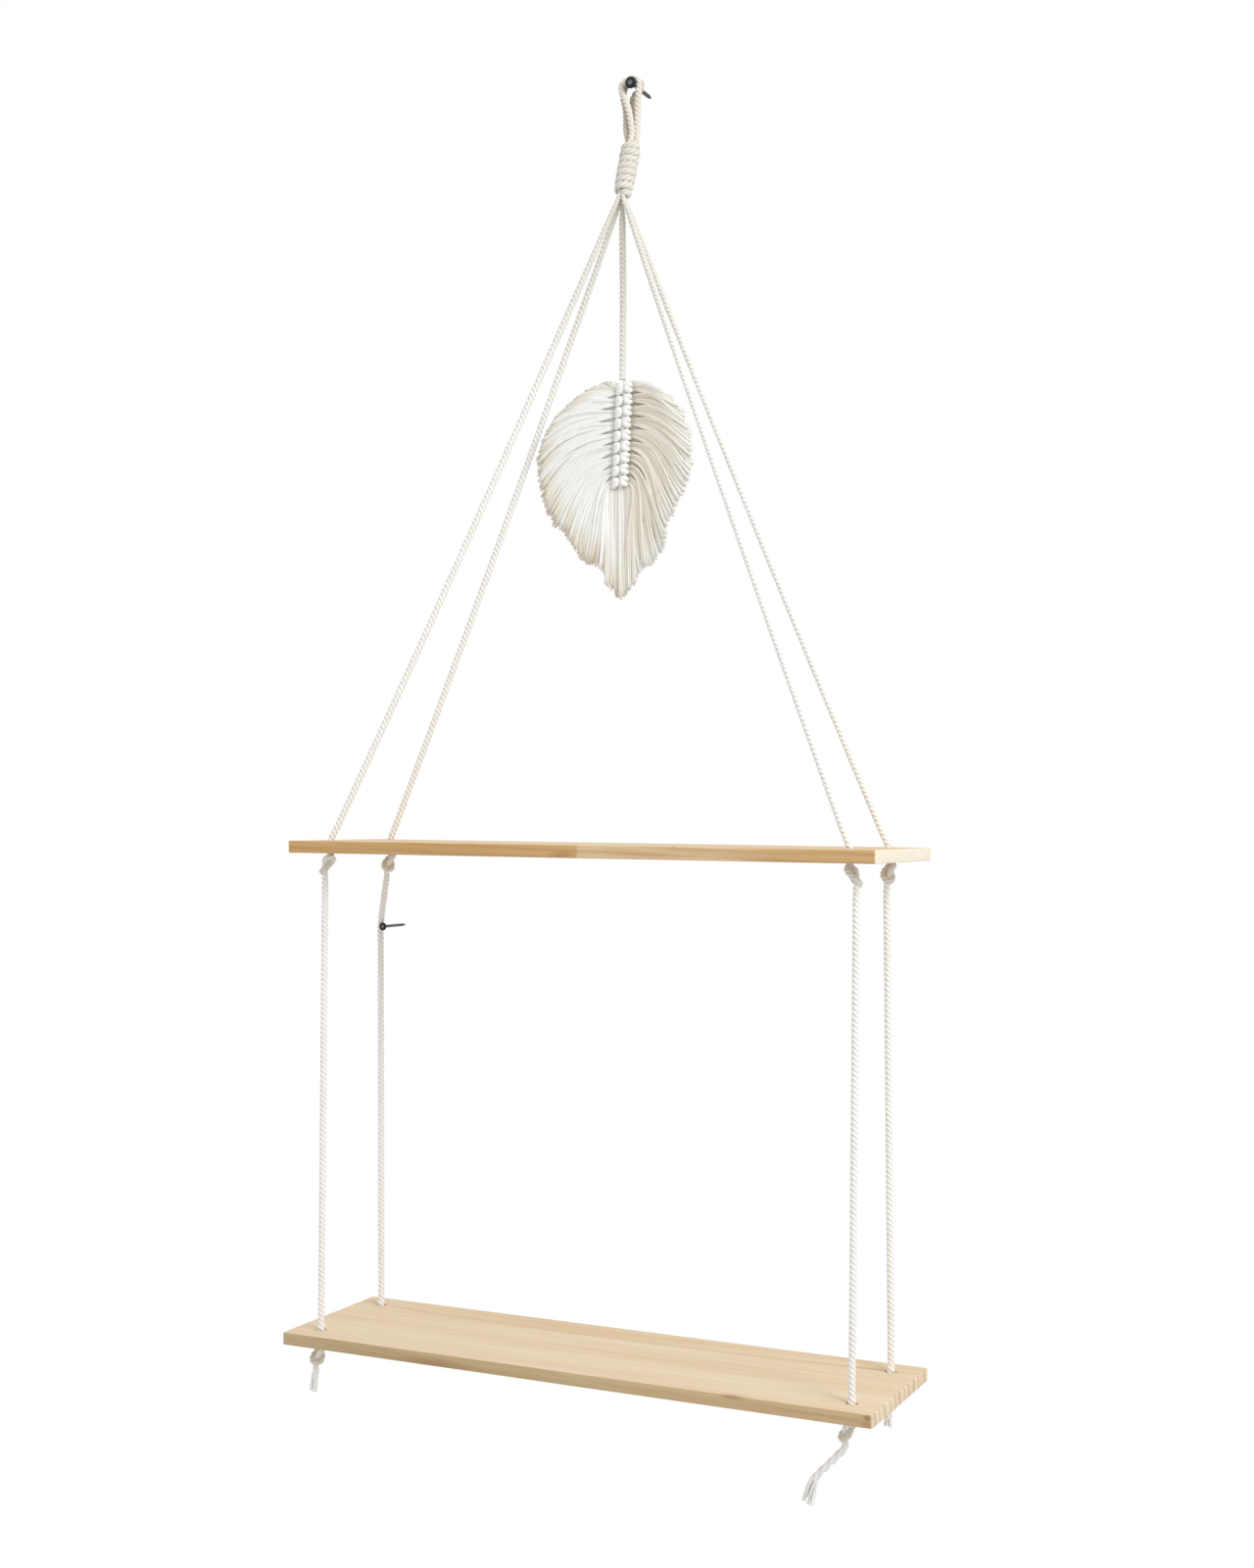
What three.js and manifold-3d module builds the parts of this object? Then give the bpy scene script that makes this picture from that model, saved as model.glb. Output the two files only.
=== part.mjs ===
// Hanging rope shelf: two thin pine boards on four twisted cotton ropes, hung from a nail by a bound loop.
// A knotted cotton feather hangs on its own cord in the middle, and a small second nail steadies one rope.
// Millimetres, +Z up, +X to the right along the boards. The wall is the plane Y = 0, the room lies at -Y.
// The origin is on the hanging nail's axis, where the nail enters the wall.
import * as THREE from 'three';
import { mergeVertices } from 'three/addons/utils/BufferGeometryUtils.js';
import Module from 'manifold-3d';

const wasm = await Module();
wasm.setup();

// Gaps between pieces
const clearance = 0.3;
const flexGap = 0.9;
const leftHoleGap = 0.7;
const rightHoleGap = 1.6;
const holePlay = 1.4;

// Boards
const boardLength = 430;
const boardDepth = 117;
const boardThickness = 8.5;
const boardCornerRadius = 3;
const boardChamfer = 0.8;
const boardWallGap = 0.5;
const upperBoardDrop = 534;
const boardSpacing = 343;
const upperHoleInset = 23;
const lowerHoleInset = 19.4;
const holeSetback = 19;

// Ropes and knots
const ropeDiameter = 4.8;
const upperRopeSag = 4;
const knotSizeShare = 0.87;
const knotRopeShare = 0.94;
const upperKnotTurnShares = { front_left: 0, back_left: 0.25, front_right: 0.5, back_right: 0.25 };
const lowerKnotTurnShares = { front_left: 0.2, back_left: 0.25, front_right: 0.02, back_right: 0.25 };

// Hanging loop and the binding below it
const loopCordDiameter = 4.8;
const loopDrop = 43.5;
const loopLeftReach = 8.4;
const bindingLength = 39;
const bindingOuterDiameter = 14;
const bindingFootDiameter = 11.6;
const bindingPitch = 5;
const bindingCordWidth = 4.4;
const bindingCordThickness = 2.8;
const bindingTopShift = 1;
const bindingTopStandOff = 20.3;
const bundleShift = -2;
const bundleStandOff = 29;

// Nails
const hangingNail = { standOff: 22.5, headDiameter: 8.3, headThickness: 2.6, shankDiameter: 3, sunk: 14 };
const steadyNail = { standOff: 24, headDiameter: 5.9, headThickness: 1.2, shankDiameter: 2.2, sunk: 9 };
const steadyNailDrop = 598;
const steadyRopeBow = 3.4;

// Feather
const featherCordDiameter = 5.4;
const featherStemDiameter = 1.4;
const featherStemRun = 14;
const featherDrop = 211;
const featherHeight = 150;
const featherLeftReach = 65;
const featherRightReach = 56;
const spineRows = 9;
const spineRowPitch = 8.1;
const spineWidth = 19;
const spineThickness = 7;
const fringeRootThickness = 6;
const fringeEndThickness = 4;

// Tails: a run of rope that leaves the knot at a slant, then a tuft of loosened yarns that hangs down
const tailRuns = { front_left: 6, back_left: 2, front_right: 30, back_right: 2 };
const tailLeanShares = { front_left: 0.2, back_left: 0.2, front_right: 0.66, back_right: 0.2 };
const tuftLengths = { front_left: 9, back_left: 5, front_right: 16, back_right: 5 };
const tuftLeanShare = 0.45;

// Places that follow from the sizes above
const boardCentreY = -boardWallGap - boardDepth / 2;
const upperBoardTop = -upperBoardDrop;
const lowerBoardTop = upperBoardTop - boardSpacing;
const ropeRadius = ropeDiameter / 2;
const ropeHoleDiameter = ropeDiameter + 2 * holePlay;
const holeRunY = boardDepth / 2 - holeSetback;
const bindingTop = new THREE.Vector3(bindingTopShift, -bindingTopStandOff, -loopDrop);
const bindingFootZ = -loopDrop - bindingLength;
const bindingFoot = new THREE.Vector3(bundleShift, -bundleStandOff, bindingFootZ);
const corners = [
  { name: 'front_left', sideX: -1, sideY: -1 },
  { name: 'back_left', sideX: -1, sideY: 1 },
  { name: 'front_right', sideX: 1, sideY: -1 },
  { name: 'back_right', sideX: 1, sideY: 1 },
];

// Materials
const finishes = {
  pine: { color: 0xdcc49c, roughness: 0.6, metalness: 0 },
  pineLower: { color: 0xe2cda9, roughness: 0.6, metalness: 0 },
  cotton: { color: 0xece6d8, roughness: 0.95, metalness: 0 },
  cottonBound: { color: 0xe9e7e0, roughness: 0.95, metalness: 0 },
  fringe: { color: 0xefebe0, roughness: 0.95, metalness: 0 },
  blackSteel: { color: 0x26262a, roughness: 0.4, metalness: 0.8 },
};

const shelf = new THREE.Group();

function addPiece(name, geometry, finish, parent = shelf) {
  const mesh = new THREE.Mesh(geometry, new THREE.MeshStandardMaterial(finishes[finish]));
  mesh.name = name;
  parent.add(mesh);
  return mesh;
}

// Solids that are joined or cut
function toSolid(geometry) {
  const bare = geometry.clone();
  bare.deleteAttribute('normal');
  bare.deleteAttribute('uv');
  const merged = mergeVertices(bare);
  const solidMesh = new wasm.Mesh({
    numProp: 3,
    vertProperties: merged.attributes.position.array,
    triVerts: new Uint32Array(merged.index.array),
  });
  return new wasm.Manifold(solidMesh);
}

function toGeometry(solid) {
  const mesh = solid.getMesh();
  const geometry = new THREE.BufferGeometry();
  geometry.setAttribute('position', new THREE.BufferAttribute(mesh.vertProperties, mesh.numProp));
  geometry.setIndex(new THREE.BufferAttribute(mesh.triVerts, 1));
  return geometry;
}

function joined(geometries) {
  const solids = geometries.map(toSolid);
  return toGeometry(solids.reduce((whole, solid) => whole.add(solid)));
}

// A closed skin over a row of rings, each ring a list of points in the same order
function skinned(rings) {
  const sides = rings[0].length;
  const faces = [];
  for (let ring = 0; ring < rings.length - 1; ring++) {
    for (let side = 0; side < sides; side++) {
      const here = ring * sides + side;
      const next = ring * sides + ((side + 1) % sides);
      faces.push(here, next, next + sides, here, next + sides, here + sides);
    }
  }
  const last = (rings.length - 1) * sides;
  for (let side = 1; side < sides - 1; side++) {
    faces.push(0, side + 1, side, last, last + side, last + side + 1);
  }
  const geometry = new THREE.BufferGeometry();
  geometry.setFromPoints(rings.flat());
  geometry.setIndex(signedVolume(rings.flat(), faces) > 0 ? faces : faces.reverse());
  return geometry;
}

function signedVolume(points, faces) {
  let volume = 0;
  for (let face = 0; face < faces.length; face += 3) {
    const [a, b, c] = [points[faces[face]], points[faces[face + 1]], points[faces[face + 2]]];
    volume += a.dot(b.clone().cross(c));
  }
  return volume;
}

// Cords: a round section carried along a smooth route
function cordGeometry(points, diameter, steps, sides = 8) {
  const section = new THREE.Shape();
  for (let side = 0; side < sides; side++) {
    const turn = (2 * Math.PI * side) / sides;
    const [x, y] = [Math.cos(turn) * diameter / 2, Math.sin(turn) * diameter / 2];
    if (side === 0) section.moveTo(x, y);
    else section.lineTo(x, y);
  }
  section.closePath();
  const route = new THREE.CatmullRomCurve3(points, false, 'centripetal');
  return new THREE.ExtrudeGeometry(section, { steps, extrudePath: route, bevelEnabled: false });
}

// The least distance between two stretches of one route that lie further apart along it than reach
function leastSpan(points, reach) {
  const along = [0];
  for (let i = 1; i < points.length; i++) along.push(along[i - 1] + points[i].distanceTo(points[i - 1]));
  let least = Infinity;
  for (let i = 0; i < points.length; i++) {
    for (let j = i + 1; j < points.length; j++) {
      if (along[j] - along[i] > reach) least = Math.min(least, points[i].distanceTo(points[j]));
    }
  }
  return least;
}

// Nails, turned round the Y axis with the head towards the room
function nailGeometry({ standOff, headDiameter, headThickness, shankDiameter, sunk }) {
  const headRadius = headDiameter / 2;
  const shankRadius = shankDiameter / 2;
  const face = -standOff;
  const back = face + headThickness;
  const profile = [
    [0, face + headThickness * 0.22],
    [headRadius * 0.42, face + headThickness * 0.18],
    [headRadius * 0.56, face],
    [headRadius * 0.86, face + headThickness * 0.12],
    [headRadius, face + headThickness * 0.4],
    [headRadius, face + headThickness * 0.8],
    [headRadius * 0.86, back],
    [shankRadius, back],
    [shankRadius, sunk - shankDiameter * 2],
    [0, sunk],
  ];
  return new THREE.LatheGeometry(profile.map(([r, y]) => new THREE.Vector2(r, y)), 16);
}

addPiece('hanging_nail', nailGeometry(hangingNail), 'blackSteel');
const steadyRopeY = -steadyNail.standOff + steadyNail.headThickness + clearance + ropeRadius;
const steadyRopeX = -(boardLength / 2 - lowerHoleInset + steadyRopeBow);
const steadyNailX = steadyRopeX + ropeRadius + steadyNail.shankDiameter / 2 + clearance;
const steadyMesh = addPiece('steady_nail', nailGeometry(steadyNail), 'blackSteel');
steadyMesh.position.set(steadyNailX, 0, -steadyNailDrop);

// The binding leans with the gathered ropes, so it and the core inside it are built in a leaning group
const bindingGroup = new THREE.Group();
bindingGroup.position.copy(bindingFoot);
const bindingAxis = bindingTop.clone().sub(bindingFoot);
const bindingRun = bindingAxis.length();
bindingGroup.quaternion.setFromUnitVectors(new THREE.Vector3(0, 0, 1), bindingAxis.normalize());
shelf.add(bindingGroup);

function besideBinding(x, y, rise) {
  return new THREE.Vector3(x, y, rise).applyQuaternion(bindingGroup.quaternion).add(bindingFoot);
}

// Hanging loop: one cord from the binding up round the nail and down again, its legs crossing on the way
const loopRadius = loopCordDiameter / 2;
const loopRide = hangingNail.shankDiameter / 2 + loopRadius + clearance;
const loopY = -hangingNail.standOff + hangingNail.headThickness + loopRadius + clearance;
const legSplit = loopRadius + clearance / 2;
const legs = [
  [-loopLeftReach * 0.12, loopY - legSplit * 1.3, -loopDrop * 0.68],
  [-loopLeftReach * 0.56, loopY - legSplit * 0.8, -loopDrop * 0.42],
  [-loopLeftReach * 0.92, loopY - legSplit * 0.1, -loopDrop * 0.18],
  [-loopLeftReach * 0.94, loopY, loopRide * 0.15],
  [-loopLeftReach * 0.5, loopY, loopRide * 0.95],
  [0, loopY, loopRide * 1.08],
  [loopRide * 0.8, loopY, loopRide * 0.72],
  [loopRide * 1.12, loopY, -loopDrop * 0.04],
  [loopRide * 1.12, loopY + legSplit * 0.15, -loopDrop * 0.28],
  [loopRide * 0.72, loopY + legSplit * 0.6, -loopDrop * 0.5],
  [-loopRide * 0.1, loopY + legSplit * 0.75, -loopDrop * 0.72],
].map((place) => new THREE.Vector3(...place));
const loopPoints = [
  besideBinding(legSplit * 0.7, -legSplit * 0.85, bindingRun + clearance),
  besideBinding(legSplit * 0.6, -legSplit * 0.85, bindingRun + loopCordDiameter),
  ...legs,
  besideBinding(-legSplit * 0.8, legSplit * 0.85, bindingRun + loopCordDiameter),
  besideBinding(-legSplit * 0.8, legSplit * 0.85, bindingRun + clearance),
];
const loopRoute = new THREE.CatmullRomCurve3(loopPoints, false, 'centripetal');
const loopSpan = leastSpan(loopRoute.getSpacedPoints(200), loopCordDiameter * 3);
console.log('hanging_loop: least gap to itself', (loopSpan - loopCordDiameter).toFixed(2), 'mm');
addPiece('hanging_loop', cordGeometry(loopPoints, loopCordDiameter, 36), 'cotton');

// Binding: one cord wound round the gathered ropes
function bindingRings() {
  const stepsPerTurn = 24;
  const sides = 6;
  const start = (bindingCordWidth + bindingCordThickness * 0.4) / 2;
  const wound = bindingRun - 2 * start;
  const turns = wound / bindingPitch;
  const steps = Math.round(turns * stepsPerTurn);
  const bodyRadius = (bindingOuterDiameter - bindingCordThickness) / 2;
  const footRadius = (bindingFootDiameter - bindingCordThickness) / 2;
  const climb = bindingPitch / (2 * Math.PI * footRadius);
  const rings = [];
  const addRing = (centre, outward) => {
    const ring = [];
    for (let side = 0; side < sides; side++) {
      const turn = (2 * Math.PI * side) / sides;
      const point = centre.clone().addScaledVector(outward, Math.sin(turn) * bindingCordThickness / 2);
      point.z += Math.cos(turn) * bindingCordWidth / 2;
      ring.push(point);
    }
    rings.push(ring);
  };
  for (let step = 0; step <= steps; step++) {
    const turn = (2 * Math.PI * step) / stepsPerTurn;
    const open = Math.min(step / (stepsPerTurn * 1.5), 1);
    const radius = footRadius + (bodyRadius - footRadius) * open;
    const outward = new THREE.Vector3(Math.cos(turn), Math.sin(turn), 0);
    const along = new THREE.Vector3(-Math.sin(turn), Math.cos(turn), climb);
    const centre = outward.clone().multiplyScalar(radius);
    centre.z = start + (wound * step) / steps;
    if (step === 0) addRing(centre.clone().addScaledVector(along, -bindingCordThickness), outward);
    addRing(centre, outward);
    if (step === steps) addRing(centre.clone().addScaledVector(along, bindingCordThickness), outward);
  }
  let gap = Infinity;
  for (let low = 0; low < rings.length; low++) {
    for (const high of rings.slice(low + stepsPerTurn / 2)) {
      for (const point of rings[low]) gap = Math.min(gap, ...high.map((other) => other.distanceTo(point)));
    }
  }
  console.log('rope_binding: least gap to itself', gap.toFixed(2), 'mm');
  return rings;
}
addPiece('rope_binding', skinned(bindingRings()), 'cottonBound', bindingGroup);

// Core: the ropes and cord pressed together inside the binding
const coreRadius = bindingOuterDiameter / 2 - bindingCordThickness - clearance;
const coreFootRadius = bindingFootDiameter / 2 - bindingCordThickness - clearance;
const coreProfile = [
  [0, 0],
  [coreFootRadius * 0.9, 0],
  [coreFootRadius, bindingCordWidth * 0.4],
  [coreFootRadius, bindingCordWidth],
  [coreRadius, bindingCordWidth * 2.6],
  [coreRadius, bindingRun - clearance * 2],
  [0, bindingRun - clearance * 2],
].map(([r, y]) => new THREE.Vector2(r, y));
const coreGeometry = new THREE.LatheGeometry(coreProfile, 16).rotateX(Math.PI / 2);
addPiece('gathered_core', coreGeometry, 'cotton', bindingGroup);

// Where the four ropes leave the binding, round the thin stem of the feather's cord
const ropeSpread = (ropeDiameter + clearance * 1.5) / 2;
const ropeStartDrop = ropeRadius * 0.6;

function bundleStart({ sideX, sideY }) {
  return besideBinding(sideX * ropeSpread, sideY * ropeSpread, -ropeStartDrop);
}

function holeCentre({ sideX, sideY }, inset, z) {
  return new THREE.Vector3(sideX * (boardLength / 2 - inset), boardCentreY + sideY * holeRunY, z);
}

// Upper ropes: from the binding, with a little sag, into the upper board's holes
function upperRopePoints(corner) {
  const start = bundleStart(corner);
  const hole = holeCentre(corner, upperHoleInset, upperBoardTop);
  const inward = new THREE.Vector3(start.x - hole.x, start.y - hole.y, 0).normalize();
  const lip = hole.clone().addScaledVector(inward, holePlay * 0.2);
  const points = [start];
  for (const share of [0.02, 0.15, 0.32, 0.5, 0.68, 0.85, 0.97]) {
    const point = start.clone().lerp(lip, share);
    point.z -= upperRopeSag * 4 * share * (1 - share);
    points.push(point);
  }
  const middle = hole.clone().setZ(upperBoardTop - boardThickness / 2 + clearance / 2);
  return [...points, lip, middle];
}

for (const corner of corners) {
  addPiece(`${corner.name}_upper_rope`, cordGeometry(upperRopePoints(corner), ropeDiameter, 40), 'cotton');
}

// Boards: a chamfered slab with rounded corners and a rope hole near each corner
function boardGeometry(inset) {
  const [halfLength, halfDepth, r] = [boardLength / 2, boardDepth / 2, boardCornerRadius];
  const outline = new THREE.Shape();
  outline.moveTo(-halfLength + r, -halfDepth);
  outline.absarc(halfLength - r, -halfDepth + r, r, -Math.PI / 2, 0);
  outline.absarc(halfLength - r, halfDepth - r, r, 0, Math.PI / 2);
  outline.absarc(-halfLength + r, halfDepth - r, r, Math.PI / 2, Math.PI);
  outline.absarc(-halfLength + r, -halfDepth + r, r, Math.PI, Math.PI * 1.5);
  const slab = new THREE.ExtrudeGeometry(outline, {
    depth: boardThickness - 2 * boardChamfer,
    bevelThickness: boardChamfer,
    bevelSize: boardChamfer,
    bevelOffset: -boardChamfer,
    bevelSegments: 1,
    curveSegments: 3,
  }).translate(0, 0, boardChamfer - boardThickness);
  let solid = toSolid(slab);
  const holeRadius = ropeHoleDiameter / 2;
  for (const corner of corners) {
    const drill = new THREE.CylinderGeometry(holeRadius, holeRadius, boardThickness * 3, 16);
    const place = holeCentre(corner, inset, 0);
    drill.rotateX(Math.PI / 2).translate(place.x, place.y - boardCentreY, 0);
    solid = solid.subtract(toSolid(drill));
  }
  return toGeometry(solid);
}

const upperBoard = addPiece('upper_board', boardGeometry(upperHoleInset), 'pine');
upperBoard.position.set(0, boardCentreY, upperBoardTop);
const lowerBoard = addPiece('lower_board', boardGeometry(lowerHoleInset), 'pineLower');
lowerBoard.position.set(0, boardCentreY, lowerBoardTop);

// Overhand knot, in rope diameters: one half from its middle down, the other half is this one turned over
const knotHalfShares = [
  [0, 1.56, 0], [0.86, 1.38, 0.44], [1.59, 0.7, 0.94], [1.48, -0.33, 1.27], [0.55, -0.88, 1.11],
  [-0.33, -0.63, 0.49], [-0.62, -0.04, -0.41], [-0.61, 0.38, -1.46], [-0.5, 0.38, -1.85],
];
const knotRiseShare = 1.85;
const knotLeadShares = [0.5, 0.38];

// Points of a knot that hangs from the place where its rope comes down through a hole
function knotPoints(top, turnShare) {
  const above = knotHalfShares.slice(1).map(([x, y, z]) => [-x, y, -z]).reverse();
  const upright = new THREE.Vector3(0, 0, 1);
  const points = [...above, ...knotHalfShares].map(([x, y, z]) => {
    const point = new THREE.Vector3(x - knotLeadShares[0], y - knotLeadShares[1], z - knotRiseShare);
    point.multiplyScalar(ropeDiameter * knotSizeShare).applyAxisAngle(upright, turnShare * 2 * Math.PI);
    return point.add(top);
  });
  const foot = points.at(-1).clone();
  foot.z -= ropeRadius * 0.6;
  return [...points, foot];
}

function knotPiece(name, points) {
  const route = new THREE.CatmullRomCurve3(points, false, 'centripetal');
  const tight = ropeDiameter * knotSizeShare * knotRopeShare;
  const gap = leastSpan(route.getSpacedPoints(160), tight * 2.5) - tight;
  console.log(`${name}: least gap to itself`, gap.toFixed(2), 'mm');
  addPiece(name, cordGeometry(points, tight, 34, 6), 'cotton');
}

// A place further down a rope that leans to the left by a share of its length
function leaned(from, length, leanShare) {
  const sideways = length * leanShare;
  return new THREE.Vector3(from.x - sideways, from.y, from.z - Math.sqrt(length ** 2 - sideways ** 2));
}

// Knots under the upper board, the drop ropes between the boards, the knots and tails under the lower one
const upperUnderside = upperBoardTop - boardThickness;
const lowerUnderside = lowerBoardTop - boardThickness;

for (const corner of corners) {
  const seat = holeCentre(corner, upperHoleInset, upperUnderside - clearance);
  const upperKnot = knotPoints(seat, upperKnotTurnShares[corner.name]);
  const upperStub = seat.clone().setZ(upperBoardTop - (boardThickness + clearance) / 2);
  knotPiece(`${corner.name}_upper_knot`, [upperStub, ...upperKnot]);

  const leaving = upperKnot.at(-1).clone();
  leaving.z -= flexGap;
  const arriving = holeCentre(corner, lowerHoleInset, lowerBoardTop + boardThickness);
  const holeGap = corner.sideX < 0 ? leftHoleGap : rightHoleGap;
  const dropEnd = arriving.clone().setZ(lowerBoardTop - (boardThickness - holeGap) / 2);
  const dropPoints = [leaving];
  if (corner.name === 'back_left') {
    const bend = new THREE.Vector3(steadyRopeX, steadyRopeY, -steadyNailDrop);
    const lead = bend.clone().lerp(leaving, 0.25);
    const trail = bend.clone().lerp(arriving, 0.06);
    lead.x -= clearance;
    dropPoints.push(lead, bend, trail, bend.clone().lerp(arriving, 0.5));
  } else {
    dropPoints.push(leaving.clone().lerp(arriving, 0.33), leaving.clone().lerp(arriving, 0.66));
  }
  dropPoints.push(arriving, dropEnd);
  const dropSteps = corner.name === 'back_left' ? 26 : 14;
  addPiece(`${corner.name}_drop_rope`, cordGeometry(dropPoints, ropeDiameter, dropSteps), 'cotton');

  const lowerSeat = holeCentre(corner, lowerHoleInset, lowerUnderside - clearance);
  const lowerKnot = knotPoints(lowerSeat, lowerKnotTurnShares[corner.name]);
  const lowerStub = dropEnd.clone().setZ(dropEnd.z - holeGap);
  knotPiece(`${corner.name}_lower_knot`, [lowerStub, ...lowerKnot]);

  const leanShare = tailLeanShares[corner.name];
  const exit = leaned(lowerKnot.at(-1), clearance * 1.5, 0);
  const bend = leaned(exit, ropeRadius * 0.6, 0);
  const runEnd = leaned(bend, tailRuns[corner.name], leanShare);
  const tuftEnd = leaned(runEnd, tuftLengths[corner.name], leanShare * tuftLeanShare);
  const tailPoints = [exit, bend, bend.clone().lerp(runEnd, 0.5), runEnd, tuftEnd];
  addPiece(`${corner.name}_tail`, cordGeometry(tailPoints, ropeDiameter, 10), 'cotton');
}

// Feather: a knotted spine on the middle cord, with a fringe of cotton strands that sweeps out and down
const featherTop = new THREE.Vector3(bundleShift, -bundleStandOff, -featherDrop);
const featherGroup = new THREE.Group();
featherGroup.position.copy(featherTop);
shelf.add(featherGroup);

const cordTop = bindingFoot.z - clearance * 2 + featherDrop;
const cordRadius = featherCordDiameter / 2;
const stemRadius = featherStemDiameter / 2;
const featherCordProfile = [
  [0, clearance],
  [cordRadius, clearance],
  [cordRadius, cordTop - featherStemRun],
  [cordRadius * 0.8, cordTop - featherStemRun * 0.7],
  [stemRadius, cordTop - featherStemRun * 0.3],
  [stemRadius, cordTop],
  [0, cordTop],
].map(([r, y]) => new THREE.Vector2(r, y));
const featherCord = new THREE.LatheGeometry(featherCordProfile, 12).rotateX(Math.PI / 2);
addPiece('feather_cord', featherCord, 'cotton', featherGroup);

const spineRun = spineRows * spineRowPitch;
function spineGeometry() {
  const lumps = [new THREE.CylinderGeometry(spineThickness * 0.3, spineThickness * 0.3, spineRun, 8)];
  lumps[0].rotateX(Math.PI / 2).translate(0, 0, -spineRun / 2);
  for (let row = 0; row < spineRows; row++) {
    for (const side of [-1, 1]) {
      const lump = new THREE.SphereGeometry(1, 6, 4);
      lump.scale(spineWidth * 0.3, spineThickness / 2, spineRowPitch * 0.52);
      lump.translate(side * spineWidth * 0.2, 0, -spineRowPitch * (row + 0.5));
      lumps.push(lump);
    }
  }
  return joined(lumps);
}
addPiece('feather_spine', spineGeometry(), 'cottonBound', featherGroup);

// Where each row's strands end, as shares of the feather's reach and height, from the top row down
const fringeEndShares = [
  [0.9, 0.27], [0.95, 0.37], [0.92, 0.47], [0.85, 0.56], [0.75, 0.64],
  [0.63, 0.71], [0.5, 0.78], [0.37, 0.84], [0.23, 0.9],
];
const fringeWidthShares = [0.075, 0.085, 0.09, 0.09, 0.088, 0.085, 0.08, 0.075, 0.07];

function tongue(route, rootHalfWidth, endHalfWidth) {
  const steps = 6;
  const sides = 6;
  const rings = [];
  for (let step = 0; step <= steps; step++) {
    const share = step / steps;
    const centre = route.getPoint(share);
    const along = route.getTangent(share);
    const across = new THREE.Vector3(-along.z, 0, along.x);
    const halfWidth = rootHalfWidth + (endHalfWidth - rootHalfWidth) * share;
    const halfThickness = (fringeRootThickness + (fringeEndThickness - fringeRootThickness) * share) / 2;
    const ring = [];
    for (let side = 0; side < sides; side++) {
      const turn = (2 * Math.PI * side) / sides;
      const point = centre.clone().addScaledVector(across, Math.cos(turn) * halfWidth);
      point.y += Math.sin(turn) * halfThickness;
      ring.push(point);
    }
    rings.push(ring);
  }
  return skinned(rings);
}

function fringeGeometry(side, reach) {
  const root = spineWidth / 2 + clearance;
  const tongues = fringeEndShares.map(([outShare, downShare], row) => {
    const startDown = spineRowPitch * (row + 0.5);
    const [endOut, endDown] = [outShare * reach, downShare * featherHeight];
    const bulge = root + (endOut - root) * 0.55;
    const route = new THREE.CubicBezierCurve3(
      new THREE.Vector3(side * root, 0, -startDown),
      new THREE.Vector3(side * bulge, 0, -startDown),
      new THREE.Vector3(side * (endOut - (endOut - root) * 0.1), 0, -(endDown + startDown) / 2),
      new THREE.Vector3(side * endOut, 0, -endDown),
    );
    return tongue(route, spineRowPitch * 0.56, fringeWidthShares[row] * featherHeight * 0.66);
  });
  const middle = new THREE.BoxGeometry(2 * root, fringeRootThickness * 2, featherHeight * 2);
  return toGeometry(toSolid(joined(tongues)).subtract(toSolid(middle)));
}
addPiece('feather_fringe_left', fringeGeometry(-1, featherLeftReach), 'fringe', featherGroup);
addPiece('feather_fringe_right', fringeGeometry(1, featherRightReach), 'fringe', featherGroup);

function tipGeometry() {
  const top = -spineRun - clearance * 2;
  const tongues = [[-0.09, 0.94], [0, 1], [0.09, 0.94]].map(([outShare, downShare]) => {
    const end = new THREE.Vector3(outShare * featherRightReach, 0, -downShare * featherHeight);
    const start = new THREE.Vector3(outShare * featherRightReach * 0.5, 0, top);
    return tongue(new THREE.LineCurve3(start, end), spineWidth * 0.2, spineWidth * 0.22);
  });
  return joined(tongues);
}
addPiece('feather_fringe_tip', tipGeometry(), 'fringe', featherGroup);

export default shelf;
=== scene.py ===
import math
import random

import bpy
import numpy as np
from mathutils import Matrix, Vector
from mathutils.geometry import tessellate_polygon


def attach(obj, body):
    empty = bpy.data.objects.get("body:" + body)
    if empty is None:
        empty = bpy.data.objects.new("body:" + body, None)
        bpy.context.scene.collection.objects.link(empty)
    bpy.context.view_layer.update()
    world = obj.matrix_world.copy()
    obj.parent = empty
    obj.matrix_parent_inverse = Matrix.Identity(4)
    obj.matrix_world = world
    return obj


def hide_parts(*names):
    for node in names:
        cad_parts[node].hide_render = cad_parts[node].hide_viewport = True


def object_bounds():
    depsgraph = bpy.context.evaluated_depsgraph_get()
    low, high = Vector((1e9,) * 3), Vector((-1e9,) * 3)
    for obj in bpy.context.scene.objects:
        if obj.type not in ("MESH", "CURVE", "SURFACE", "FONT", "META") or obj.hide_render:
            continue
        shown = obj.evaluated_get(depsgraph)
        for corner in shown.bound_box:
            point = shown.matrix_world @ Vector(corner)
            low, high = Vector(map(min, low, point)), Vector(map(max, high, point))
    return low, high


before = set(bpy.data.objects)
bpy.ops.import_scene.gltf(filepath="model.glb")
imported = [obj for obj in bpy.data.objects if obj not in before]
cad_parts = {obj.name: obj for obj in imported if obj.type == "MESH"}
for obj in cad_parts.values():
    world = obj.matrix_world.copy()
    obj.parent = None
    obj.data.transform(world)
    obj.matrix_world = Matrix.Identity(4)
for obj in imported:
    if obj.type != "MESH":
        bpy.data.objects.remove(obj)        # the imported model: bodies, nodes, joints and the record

cadLow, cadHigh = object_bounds()
scene = bpy.context.scene
chance = random.Random(41)

# Camera. Lengths are metres and angles radians throughout, but a lens and its sensor are measured in millimetres
view = {"place": (0.5962, -1.2903, -0.5121), "yaw": 0.438, "pitch": 0.014, "roll": 0.0085, "lens": 46.1,
        "sensor": 36, "near": 0.05, "far": 30}


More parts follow.
